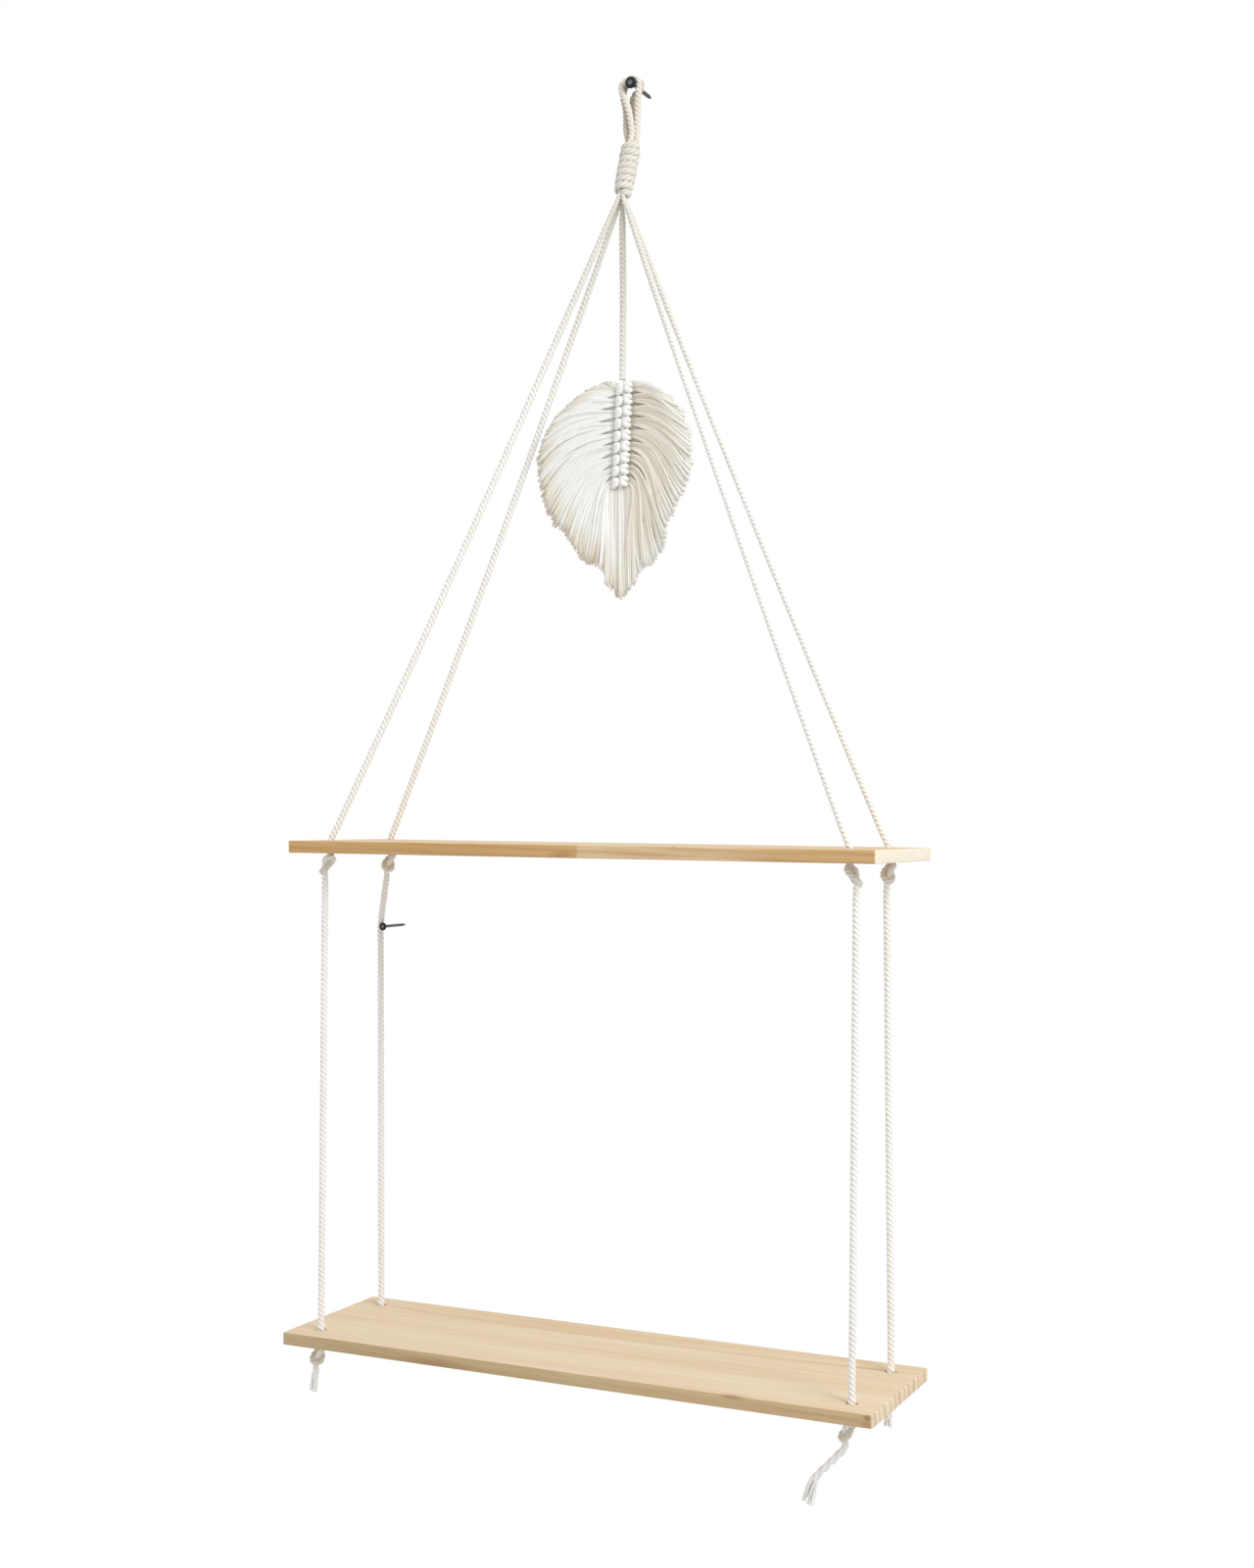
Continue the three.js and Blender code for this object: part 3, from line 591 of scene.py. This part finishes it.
fringeLook = {    # rowShares are the places of the rows' strands along the rim, fall is the strands' angle there, and the right's lower tone paints its strands creamier as painted shade
    -1: dict(rowShares=(0.16, 0.27, 0.36, 0.44, 0.53, 0.61, 0.69, 0.78, 0.87),
             fall=(0.05, 0.35, 0.75, 1.02, 1.3, 1.5), outShares=(0.5, 0.4, 0.27, 0.14), gather=0.86, tone=0.84,
             droop=0.003, pinch=0.6),
    1: dict(rowShares=(0.17, 0.29, 0.38, 0.46, 0.54, 0.62, 0.7, 0.79, 0.88), fall=(0.1, 0.4, 0.68, 0.92, 1.2, 1.48),
            outShares=(0.5, 0.42, 0.3, 0.16), gather=0.8, tone=0.36, droop=0.0006, pinch=0.8),
}
featherCord = dict(
    topDrop=0.0006, foot=(0.0015, 0, 0.0003), middle=(0.0013, 0, 0.06), firstTurn=0.003,
    radiusDrops=(0, 0.004, 0.016), radii=(0.0005, 0.0012, 0.0025),
)


def makeFeatherCord():
    top = np.array(besideBinding(0, 0, -featherCord["topDrop"])) - featherTop
    places = np.array([featherCord["foot"], featherCord["middle"], tuple(top)])
    route = evenly(featherTop + places, rope["ringGap"])
    radii = np.interp(route[-1][2] - route[:, 2], featherCord["radiusDrops"], featherCord["radii"])
    tubes = Tubes()
    tubes.add(route, carried(route), ropeSection, radii, ropeTurns(route, featherCord["firstTurn"]))
    tubes.finish("featherCord", "hanging_cord", "rope", cordFinish, ["feather_cord"])


# Spine: each row's two folded cords meet on the middle cord. A fold's points are out, back and up from its row
spine = dict(
    half=0.0063, leanTop=0.0036, leanFoot=0.0003, coreBack=0.0012, coreRadius=0.0023,
    coreDowns=(0.0002, 0.03, 0.0762), coreGap=0.0008, foldRadius=0.0019, foldGap=0.0005,
    fold=[(0.0063, 0.0009, 0.0018), (0.005, -0.0007, 0.0021), (0.0036, -0.0018, 0.0021), (0.0022, -0.0019, 0.0011),
        (0.0021, -0.0018, -0.0011), (0.0036, -0.0016, -0.0021), (0.005, -0.0006, -0.0021),
        (0.0063, 0.0009, -0.0018)], radiusShares=(0.66, 0.97, 1.07, 1.07, 0.97, 0.66), tones=(0.42, 0.56),
)


def spineShift(down):    # the spine leans: how far right of the feather's top it is, at a place further down
    return np.interp(down, (0, spineLength), (spine["leanTop"], spine["leanFoot"]))


def makeSpine():
    tubes = Tubes()
    core = [featherTop + np.array((spineShift(down), spine["coreBack"], -down)) for down in spine["coreDowns"]]
    core = smoothRoute(core, spine["coreGap"])
    tubes.add(core, carried(core), ropeSection, spine["coreRadius"], ropeTurns(core))
    for row in range(feather["rows"]):
        middle = -feather["rowPitch"] * (row + 0.5) - feather["rowDrop"]
        for side in (-1, 1):
            lean = vary(0.0005) - 0.0001
            droop, pinch = fringeLook[side]["droop"], fringeLook[side]["pinch"]
            points = []
            for u, v, w in spine["fold"]:
                far = (u / spine["half"]) ** 1.6
                height = middle + w * (1 - (1 - pinch) * far) + lean - droop * far
                points.append(featherTop + np.array((side * u + spineShift(-middle), v, height)))
            route = smoothRoute(points, spine["foldGap"])
            share = np.linspace(0, 1, len(route))
            radii = spine["foldRadius"] * np.interp(share, np.linspace(0, 1, 6), spine["radiusShares"])
            tubes.add(route, carried(route), softSection, radii, tint=chance.uniform(*spine["tones"]))
    tubes.finish("featherSpine", "feather", "rope", softFinish, ["feather_spine"])


def rimPlace(side, share):
    rim = np.array(rims[side], dtype=float) / 1000
    along = lengthAlong(rim)
    wanted = share * along[-1]
    return np.interp(wanted, along, rim[:, 0]), np.interp(wanted, along, rim[:, 1])


def bezier(points, steps):
    share = np.linspace(0, 1, steps + 1)[:, None]
    a, b, c, d = (np.array(point) for point in points)
    return a * (1 - share) ** 3 + 3 * b * share * (1 - share) ** 2 + 3 * c * share ** 2 * (1 - share) + d * share ** 3


def addStrand(tubes, route, kind, broad, tone):    # kind is the settings of the fringe or of the tip
    shares = np.interp(np.linspace(0, 1, len(route)), *zip(*kind["swell"]))
    radii = chance.uniform(*kind["radii"][broad]) * shares
    tubes.add(route, carried(route, (0, -1, 0)), plainSection, radii, tint=tone + vary(kind["strandTone"]))


# Fringe: every row has broad strands in front, as many behind them, and fine ones over them. The top row fans out.
# Pairs are for the strands in front and behind, or for the fine and the broad ones
fringe = dict(
    broad=16, fine=44, width=0.085, tufts=6, topTufts=10, limits=(0.006, 0.99),
    fallShares=(0.02, 0.25, 0.4, 0.55, 0.75, 1), spreads=(0.0036, 0.0084), roots=(0.97, 0.5),
    depths=(-0.0003, 0.0011), cuts=(0.0008, 0.0024), shades=(0, 0.12), rootBack=0.0021, rootCurve=0.0006,
    trims=((-0.004, 0.0008), (-0.0002, 0.0004)), outRows=(0, 3, 6, 8), rootHeight=0.0104, forward=0.0012,
    sway=0.00035, radii=((0.00026, 0.0006), (0.0011, 0.0014)), swell=((0, 0.62), (0.15, 0.85), (0.6, 1.0), (1, 0.7)),
    strandTone=0.07,
)


def makeFringe(side, name, stands):
    tubes, look = Tubes(), fringeLook[side]
    for row in range(feather["rows"]):
        rootDown = feather["rowPitch"] * (row + 0.5) + feather["rowDrop"] + look["droop"] * 0.6
        double = 2 if row == 0 else 1
        tufts = fringe["topTufts"] if row == 0 else fringe["tufts"]
        trims = [vary(1) for tuft in range(tufts)]
        tones = [vary(1) for tuft in range(tufts)]
        broadCount = fringe["broad"] * double
        for strand in range(broadCount + fringe["fine"] * double):
            broad = strand < broadCount
            behind = broad and strand % 2 == 1
            spot = (strand + 0.5) / broadCount if broad else chance.random()
            tuft = min(int(spot * tufts), tufts - 1)
            middle = (tuft + 0.5) / tufts
            gathered = middle + (spot - middle) * (1.0 if behind else look["gather"])
            share = look["rowShares"][row] + fringe["width"] * double * (2 * gathered - 1) * 0.94
            share = np.clip(share, *fringe["limits"])
            u, w = rimPlace(side, share)
            fall = np.interp(share, fringe["fallShares"], look["fall"])
            ending = np.array((side * math.cos(fall), 0, -math.sin(fall)))
            spread = fringe["spreads"][behind]
            rootW = rootDown + (spot - 0.5) * spread + vary(0.0003)
            rootY = fringe["rootBack"]
            if not behind:
                curve = fringe["rootCurve"] * math.cos((spot - 0.5) * 5)
                rootY = curve - 0.0002 + vary(0.0005)
            rootU = side * spine["half"] * fringe["roots"][behind] + spineShift(rootDown)
            root = np.array((rootU, rootY, -rootW))
            depth = 0.0008 * trims[tuft] + vary(0.0005) + fringe["depths"][behind]
            trim = 0.0014 * trims[tuft] - fringe["cuts"][behind] + chance.uniform(*fringe["trims"][broad])
            end = np.array((u, depth, -w)) + ending * trim
            span = np.linalg.norm(end - root)
            rise = 0.2 * (0.5 - spot) if row == 0 else 0.0
            out = np.interp(row, fringe["outRows"], look["outShares"]) * span
            lift = out * (rise - row * 0.03) + (0.5 - spot) * (fringe["rootHeight"] - spread)
            second = root + np.array((side * out, depth * 0.6 - fringe["forward"], lift))
            third = end - ending * span * np.interp(row, (0, 8), (0.36, 0.5))
            route = featherTop + bezier((root, second, third, end), feather["strandBends"])
            places = np.linspace(0, 1, len(route))
            sway = fringe["sway"] * np.sin(places * 6 + chance.uniform(0, 6.28)) * places
            route[:, 0] += sway
            route[:, 2] += sway * 0.6
            tone = look["tone"] + 0.08 * tones[tuft] - fringe["shades"][behind]
            addStrand(tubes, route, fringe, broad, tone)
    tubes.finish(name, "feather", "fringe", fringeFinish, stands)


# Tip: strands that hang from the spine's foot in clumps
tip = dict(
    strands=150, broad=46, clumps=7, gather=0.72, low=0.1552, rounding=0.0135, uneven=0.0045,
    depths=(-0.0003, 0.0012), rootHalf=0.0086, parting=((0, 0), (0.3, 0.0019), (0.34, 0.005), (1, 0.0086)),
    rootBack=0.0005, rootDrop=0.0004, rootRise=0.0022, endHalf=0.0125, endAside=0.0016, fan=0.0026, fall=0.018,
    radii=((0.00028, 0.0006), (0.0009, 0.0012)), swell=((0, 0.7), (0.1, 0.9), (0.6, 1.0), (1, 0.6)), tone=0.62,
    strandTone=0.09, shades=(0, 0.26),
)


def makeTip():
    tubes, clumps = Tubes(), tip["clumps"]
    tones = [vary(1) for clump in range(clumps)]
    for strand in range(tip["strands"]):
        broad = strand < tip["broad"]
        behind = broad and strand % 2 == 1
        spot = (strand + 0.5) / tip["broad"] * 2 - 1 if broad else vary(1)
        clump = min(int((spot + 1) / 2 * clumps), clumps - 1)
        middle = (clump + 0.5) / clumps * 2 - 1
        held = spot if behind else middle + (spot - middle) * tip["gather"]
        low = tip["low"] - tip["rounding"] * abs(held) ** 1.1 - chance.uniform(0, tip["uneven"])
        depth = 0.0009 * tones[clump] + vary(0.0008) + tip["depths"][behind]
        aside = tip["rootHalf"] * abs(spot) if behind else np.interp(abs(spot), *zip(*tip["parting"]))
        rootZ = tip["rootDrop"] + tip["rootRise"] * abs(spot) ** 2 - spineLength
        root = np.array((math.copysign(aside, spot), tip["rootBack"] + depth * 0.5, rootZ))
        end = np.array((held * tip["endHalf"] + tip["endAside"], depth, -low))
        second = root + np.array((spot * tip["fan"], 0, -tip["fall"]))
        third = root + (end - root) * 0.7
        route = featherTop + bezier((root, second, third, end), feather["strandBends"])
        tone = tip["tone"] + 0.16 * tones[clump] - tip["shades"][behind]
        addStrand(tubes, route, tip, broad, tone)
    tubes.finish("featherFringeTip", "feather", "fringe", fringeFinish, ["feather_fringe_tip"])


combed = dict(
    fibres=(4200, 4200, 130), streaks=640, pale=paint(254, 254, 251), shade=paint(240, 238, 231),
    cream=paint(221, 210, 186), rim=paint(224, 207, 175), rimHighlight=paint(252, 251, 248), root=paint(196, 190, 178),
)


def fringeCotton():    # cream strands with painted shade at their roots and on the low-tinted ones, fibres that darken towards their cut ends, and a painted highlight that whitens the right side's cut ends
    finish = Finish("combedCotton")
    place = finish.axes(finish.stored("cordPlace", "Vector"))
    fibres = finish.grain(place, combed["fibres"], 3.0, 0.6)
    tint, left = finish.stored("tint"), finish.stored("left")
    streak = finish.cloud(finish.point(tint * combed["streaks"], 0.5, 0.5), 1.0, 0.0)
    rimmed = finish.shift(left + fibres * 0.014, 0.03, 0.012) * finish.shift(streak, 0.45, 0.54)
    rimmed = rimmed * finish.shift(tint, 0.4, 0.75)
    # painted highlight: the right side's cut ends are whitened over their last 22 mm
    rimHighlight = finish.shift(left, 0.022, 0.001) * finish.shift(tint, 0.6, 0.42)
    colour = finish.blend(fibres * 0.3, combed["pale"], combed["shade"])
    # painted shade: low-tinted strands, on the right half and behind, turn creamier
    colour = finish.blend(finish.shift(tint, 0.75, 0.25) * 0.78, colour, combed["cream"])
    colour = finish.blend(rimmed * 0.66, colour, combed["rim"])
    colour = finish.blend(rimHighlight * 0.72, colour, combed["rimHighlight"])
    # painted shade at the strands' roots, between the rows
    colour = finish.blend(finish.shift(place[2], 0.0045, 0.0008) * 0.5, colour, combed["root"])
    bump = finish.bumped(fibres, 0.00018)
    return finish.surface({"Base Color": colour, "Roughness": 0.9, "Normal": bump, **softSheen})


fringeFinish = fringeCotton()
makeFeatherCord()
makeSpine()
makeFringe(-1, "featherFringeLeft", ["feather_fringe_left"])
makeFringe(1, "featherFringeRight", ["feather_fringe_right"])
makeTip()
print("feather knotted and combed")


# Boards: pine with rounded edges and rope holes
def roundedOutline(inset, z):
    half = board["length"] / 2 - inset, board["depth"] / 2 - inset
    radius = max(board["cornerRadius"] - inset, board["leastRadius"])
    steps, ring = board["cornerSteps"], []
    for number, (sideX, sideY) in enumerate(((1, 1), (-1, 1), (-1, -1), (1, -1))):
        for step in range(steps + 1):
            angle = math.pi / 2 * (number + step / steps)
            x = sideX * (half[0] - radius) + radius * math.cos(angle)
            y = sideY * (half[1] - radius) + radius * math.sin(angle)
            ring.append((x, board["centreY"] + y, z))
    return ring


def holeOutline(x, y, radius, z):
    angles = [2 * math.pi * step / board["holeSides"] for step in range(board["holeSides"])]
    return [(x + radius * math.cos(angle), y + radius * math.sin(angle), z) for angle in angles]


def makeBoard(name, top, holeX, body, slot, finish, stands):
    depth, over, steps = board["thickness"], board["roundover"], board["roundoverSteps"]
    bends = [math.pi / 2 * step / steps for step in range(steps + 1)]
    profile = [(over * (1 - math.sin(bend)), top - over * (1 - math.cos(bend))) for bend in bends]
    profile += [(inset, 2 * top - depth - z) for inset, z in reversed(profile)]
    skins = [[roundedOutline(inset, z) for inset, z in profile]]
    for sideX, sideY in ((-1, -1), (-1, 1), (1, -1), (1, 1)):
        x, y = sideX * holeX, board["centreY"] + sideY * board["holeRunY"]
        eased = [(board["holeRadius"] + inset * 0.5, z) for inset, z in profile]
        skins.append([holeOutline(x, y, radius, z) for radius, z in eased])
    points, faces, smooth, caps = [], [], [], [[], []]
    for number, rings in enumerate(skins):
        first, sides = len(points), len(rings[0])
        points += [point for ring in rings for point in ring]
        quads = ringFaces(first, len(rings), sides)
        faces += [quad[::-1] for quad in quads] if number == 0 else quads
        smooth += [True] * len(quads)
        caps[0].append(list(range(first, first + sides)))
        caps[1].append(list(range(len(points) - sides, len(points))))
    for flip, cap in enumerate(caps):    # the top and the underside, with their holes
        order = [index for ring in cap for index in ring]
        for triangle in tessellate_polygon([[Vector(points[index]) for index in ring] for ring in cap]):
            a, b, c = (order[corner] for corner in triangle)
            normal = (Vector(points[b]) - Vector(points[a])).cross(Vector(points[c]) - Vector(points[a]))
            faces.append((a, b, c) if (normal.z > 0) != bool(flip) else (a, c, b))
            smooth.append(False)
    addPiece(name, points, faces, body, slot, finish, None, stands, smooth)


# Pine: the rings of a log cut by the board, strong on its sawn ends, with streaks along its front edge. Lines and
# patches are the darker rings and the knots of the real boards
pine = dict(
    slow=(3.2, 14, 14), wavy=(16, 60, 60), grain=(26, 1500, 1500), pores=(70, 2600, 2600), broad=(5, 40, 40),
    sawn=(0.0011, 0.0004), edge=(0.0007, 0.0002), bump=0.00012,
)


def pineFinish(name, look):
    finish = Finish(name)
    blend, shift = finish.blend, finish.shift
    x, y, z = place = finish.axes(finish.add("ShaderNodeTexCoord", out="Object"))
    slow, wavy = finish.grain(place, pine["slow"]), finish.grain(place, pine["wavy"])
    fromPithY = y - look["pithY"] + (slow - 0.5) * look["wander"] + (wavy - 0.5) * 0.0016
    fromPithZ = z - look["pithZ"] + x * look["taper"]
    radius = (fromPithY * fromPithY + fromPithZ * fromPithZ) ** 0.5
    rings = finish.cloud(finish.point(radius * look["ringScale"], x * 0.6, 3.7), 1.0, 1.0)
    counted = radius / look["ringWidth"] + (slow - 0.5) * 1.2 + (rings - 0.5) * look["uneven"]
    late = shift(counted.maths("FRACT", counted), look["lateStart"], 1.0) ** look["lateRise"]
    grain = finish.grain(place, pine["grain"], 3.0, 0.6)
    pores, broad = finish.grain(place, pine["pores"]), finish.grain(place, pine["broad"])
    streaks = finish.cloud(finish.point(x * 9, y * 330, z * 330 + x * 12), 1.0, 3.0, 0.55)
    half, front = board["length"] / 2, board["centreY"] - board["depth"] / 2
    sawn = shift(abs(x), *(half - depth for depth in pine["sawn"]))
    edge = shift(y, *(front + depth for depth in pine["edge"])) * (1 - sawn)
    colour = blend(shift(broad, 0.3, 0.7), look["pale"], look["warm"])
    strength = shift(rings, 0.3, 0.7, 0.35, 1.0)
    colour = blend(late * look["lateShare"] * strength * (1 - sawn), colour, look["late"])
    colour = blend(late * look["endShare"] * (strength * 0.5 + 0.5) * sawn, colour, look["endLate"])
    colour = blend(shift(grain, 0.35, 0.75) * 0.28 * (1 - sawn * 0.6), colour, look["late"])
    colour = blend(shift(pores, 0.62, 0.8) * 0.3, colour, look["pore"])
    for lineY, bow, width, share in look["lines"]:
        off = y - lineY - x * x * bow + (wavy - 0.5) * 0.0012
        colour = blend(shift(abs(off), width, width * 0.2) * share, colour, look["late"])
        colour = blend(shift(off, 0.0, 0.0012) * look["behindShare"], colour, look["behind"], "MULTIPLY")
    for middle, width, share in look["patches"]:
        near = finish.point(*((axis - at) * (1 / wide) for axis, at, wide in zip(place, middle, width)))
        far = finish.add("ShaderNodeVectorMath", {"operation": "LENGTH"}, {0: near}, "Value")
        colour = blend(shift(far + (wavy - 0.5) * 0.9, 1.0, 0.25) * share, colour, look["knot"])
    # painted shade: the strips darken the front edge, standing in for its shade; on the upper board they are partly
    # the tones of its jointed pieces
    for start, end, soft, share in look["strips"]:
        inside = shift(x, start - soft, start) * shift(x, end + soft, end) * edge
        colour = blend(inside * share, colour, look["edgeToneAndShade"], "MULTIPLY")
    colour = blend(shift(streaks, 0.44, 0.66) * edge * look["streakShare"], colour, look["streak"])
    # painted light: the sawn ends are painted paler, as lit by the lamp, partly the end grain's own paler tone
    colour = blend(sawn * look["endPaleAndLitShare"], colour, look["endPaleAndLit"])
    height = late * 0.5 + grain * 0.4 - shift(pores, 0.6, 0.8) * 0.5
    rough = shift(grain * 0.6 + late * 0.4, 0.2, 0.8, 0.5, 0.66)
    return finish.surface({"Base Color": colour, "Roughness": rough, "Specular IOR Level": 0.35,
                           "Normal": finish.bumped(height, pine["bump"])})


upperPine = dict(
    pithY=-0.075, pithZ=-0.575, wander=0.016, taper=0.03, ringWidth=0.0034, ringScale=260, uneven=0.0,
    lateStart=0.55, lateRise=2.2, lateShare=0.55, endShare=0.5, endLate=paint(196, 150, 96),
    pale=paint(230, 208, 172), warm=paint(222, 193, 149), late=paint(196, 150, 96), pore=paint(168, 122, 76),
    knot=paint(150, 98, 58), edgeToneAndShade=(0.83, 0.7, 0.5), streak=paint(184, 132, 74), streakShare=0.4,
    endPaleAndLit=paint(246, 240, 226), endPaleAndLitShare=0.72, lines=[],
    patches=[((0.0, -0.1175, -0.5405), (0.014, 0.004, 0.0035), 0.35)],
    strips=[(-0.3, 0.0107, 0.0006, 1.0), (0.0107, 0.3, 0.0006, 0.22), (0.15, 0.3, 0.035, 0.8)],
)
lowerPine = dict(
    pithY=-0.309, pithZ=-0.93, wander=0.006, taper=0.01, ringWidth=0.0098, ringScale=110, uneven=1.1, lateStart=0.35,
    lateRise=1.3, lateShare=0.12, endShare=0.95, endLate=paint(170, 132, 104), pale=paint(238, 221, 192),
    warm=paint(229, 206, 171), late=paint(196, 158, 113), pore=paint(180, 140, 96), knot=paint(150, 100, 62),
    edgeToneAndShade=(0.73, 0.68, 0.56), streak=paint(172, 132, 84), streakShare=0.4, endPaleAndLit=paint(240, 224, 198),
    endPaleAndLitShare=0.15, behind=(0.97, 0.935, 0.88), behindShare=1.0, lines=[(-0.0275, 0.21, 0.0015, 0.6)],
    patches=[((0.2118, -0.1175, -0.8791), (0.0036, 0.006, 0.0023), 0.7),
        ((0.2115, -0.1175, -0.8832), (0.0042, 0.006, 0.003), 0.3),
        ((0.1237, -0.1175, -0.8776), (0.011, 0.004, 0.0022), 0.45),
        ((0.182, -0.019, -0.877), (0.016, 0.0026, 0.006), 0.35),
        ((-0.094, -0.1175, -0.884), (0.03, 0.004, 0.006), 0.35)],
    strips=[(-0.3, 0.3, 0.001, 1.0), (-0.3, -0.06, 0.12, 0.35)],
)
makeBoard("upperBoard", board["upperTop"], board["upperHoleX"], "upper_tier", "upper_pine",
          pineFinish("upperPine", upperPine), ["upper_board"])
makeBoard("lowerBoard", board["lowerTop"], board["lowerHoleX"], "lower_tier", "lower_pine",
          pineFinish("lowerPine", lowerPine), ["lower_board"])
print("boards cut")

# Nails, turned round the Y axis. The head's profile is in shares of its radius and of its thickness
nailHead = [(0.16, 0.35), (0.3, 0.3), (0.44, 0.17), (0.56, 0.05), (0.64, 0.01), (0.74, 0.04), (0.88, 0.14),
            (0.97, 0.28), (1, 0.45), (1, 0.72), (0.96, 0.88), (0.86, 0.99)]
nailPoint = dict(taper=0.005, bluntRun=0.0018, endRadius=0.0001, middleRadius=0.0002)
hangingNail = dict(
    x=0, z=0, standOff=0.0225, headRadius=0.00415, headThickness=0.0026, shankRadius=0.0015, depth=0.014,
)
steadyNail = dict(
    x=-0.1952, z=-0.598, standOff=0.024, headRadius=0.00295, headThickness=0.0012, shankRadius=0.0011, depth=0.009,
)


def makeNail(name, nail, finish, stands, sides=48):
    face, radius, thick = -nail["standOff"], nail["headRadius"], nail["headThickness"]
    shank, depth = nail["shankRadius"], nail["depth"]
    profile = [(nailPoint["middleRadius"], face + thick * 0.36)]
    profile += [(radius * across, face + thick * down) for across, down in nailHead]
    profile += [(shank * 1.15, face + thick), (shank, face + thick * 1.15), (shank, depth - nailPoint["taper"]),
                (shank * 0.55, depth - nailPoint["bluntRun"]), (nailPoint["endRadius"], depth)]
    angles = [2 * math.pi * side / sides for side in range(sides)]
    points, dish = [], []    # dish is 1 in the middle of the head's hollow, where a painted highlight lightens it
    for r, y in profile:
        points += [(nail["x"] + r * math.cos(angle), y, nail["z"] + r * math.sin(angle)) for angle in angles]
        dish += [max(1 - r / (radius * 0.62), 0) if y < face + thick * 0.5 else 0] * sides
    faces = ringFaces(0, len(profile), sides) + endFaces(0, len(profile), sides)
    addPiece(name, points, faces, "wall_nails", "black_steel", finish, {"dish": dish}, stands)


def steelFinish():
    finish = Finish("blackenedSteel")
    place = finish.add("ShaderNodeTexCoord", out="Object")
    spots = finish.cloud(place, 900.0, 3.0, 0.6)
    streaks = finish.grain(finish.axes(place), (900, 3500, 900))
    colour = finish.blend(finish.shift(spots, 0.52, 0.72) * 0.4, (0.009, 0.009, 0.01), (0.06, 0.058, 0.056))
    # painted highlight: the hollow's middle is painted a lighter grey, standing in for the light it catches
    hollow = finish.shift(finish.stored("dish") + spots * 0.2, 0.15, 0.8)
    colour = finish.blend(hollow * 0.85, colour, (0.22, 0.225, 0.23))
    return finish.surface({"Base Color": colour, "Metallic": 0.3, "Specular IOR Level": 0.3,
                           "Roughness": finish.shift(spots, 0.3, 0.7, 0.16, 0.3),
                           "Normal": finish.bumped(spots * 0.6 + streaks * 0.4, 0.00006)})


blackSteel = steelFinish()
makeNail("hangingNail", hangingNail, blackSteel, ["hanging_nail"])
makeNail("steadyNail", steadyNail, blackSteel, ["steady_nail"])
print("nails turned")

# Floor, lamp and the white surroundings
studio = dict(
    floorDrop=0.42, floorHalf=0.55, floorGrey=(0.84, 0.84, 0.83), floorPale=(0.88, 0.88, 0.87), floorGrain=60.0,
    worldLight=0.75, keyPower=25.0, keyPlace=(1.7, -0.9, 0.75), keySize=1.1, keyAim=(0, -0.06, -0.45),
)


def setStudio():
    low, half = cadLow[2] - studio["floorDrop"], studio["floorHalf"]
    mesh = bpy.data.meshes.new("floor")
    floorCorners = [(-half, -half, low), (half, -half, low), (half, half, low), (-half, half, low)]
    mesh.from_pydata(floorCorners, [], [(0, 1, 2, 3)])
    floor = bpy.data.objects.new("floor", mesh)
    scene.collection.objects.link(floor)
    finish = Finish("paleFloor")
    speck = finish.cloud(finish.add("ShaderNodeTexCoord", out="Object"), studio["floorGrain"])
    colour = finish.blend(speck, studio["floorGrey"], studio["floorPale"])
    mesh.materials.append(finish.surface({"Base Color": colour, "Roughness": 0.8}))

    lamp = bpy.data.lights.new("keyLamp", "AREA")
    lamp.energy, lamp.shape, lamp.size = studio["keyPower"], "DISK", studio["keySize"]
    key = bpy.data.objects.new("keyLamp", lamp)
    key.location = studio["keyPlace"]
    key.rotation_euler = (Vector(studio["keyAim"]) - key.location).to_track_quat("-Z", "Y").to_euler()
    scene.collection.objects.link(key)

    scene.world = bpy.data.worlds.new("studio")
    sky = Finish("studio", scene.world)
    rays = sky.add("ShaderNodeLightPath")
    seen = {socket.name: Wire(sky, socket) for socket in rays.socket.node.outputs}
    plain = seen["Is Camera Ray"].maths("MAXIMUM", seen["Is Camera Ray"], seen["Is Glossy Ray"])
    plain = plain.maths("MAXIMUM", plain, seen["Is Transmission Ray"])
    strength = plain * (1 - studio["worldLight"]) + studio["worldLight"]
    light = sky.add("ShaderNodeBackground", None, {"Color": (1, 1, 1, 1), "Strength": strength})
    sky.add("ShaderNodeOutputWorld", None, {"Surface": light})
    scene.view_settings.view_transform = "Standard"


setStudio()
print("studio lit")
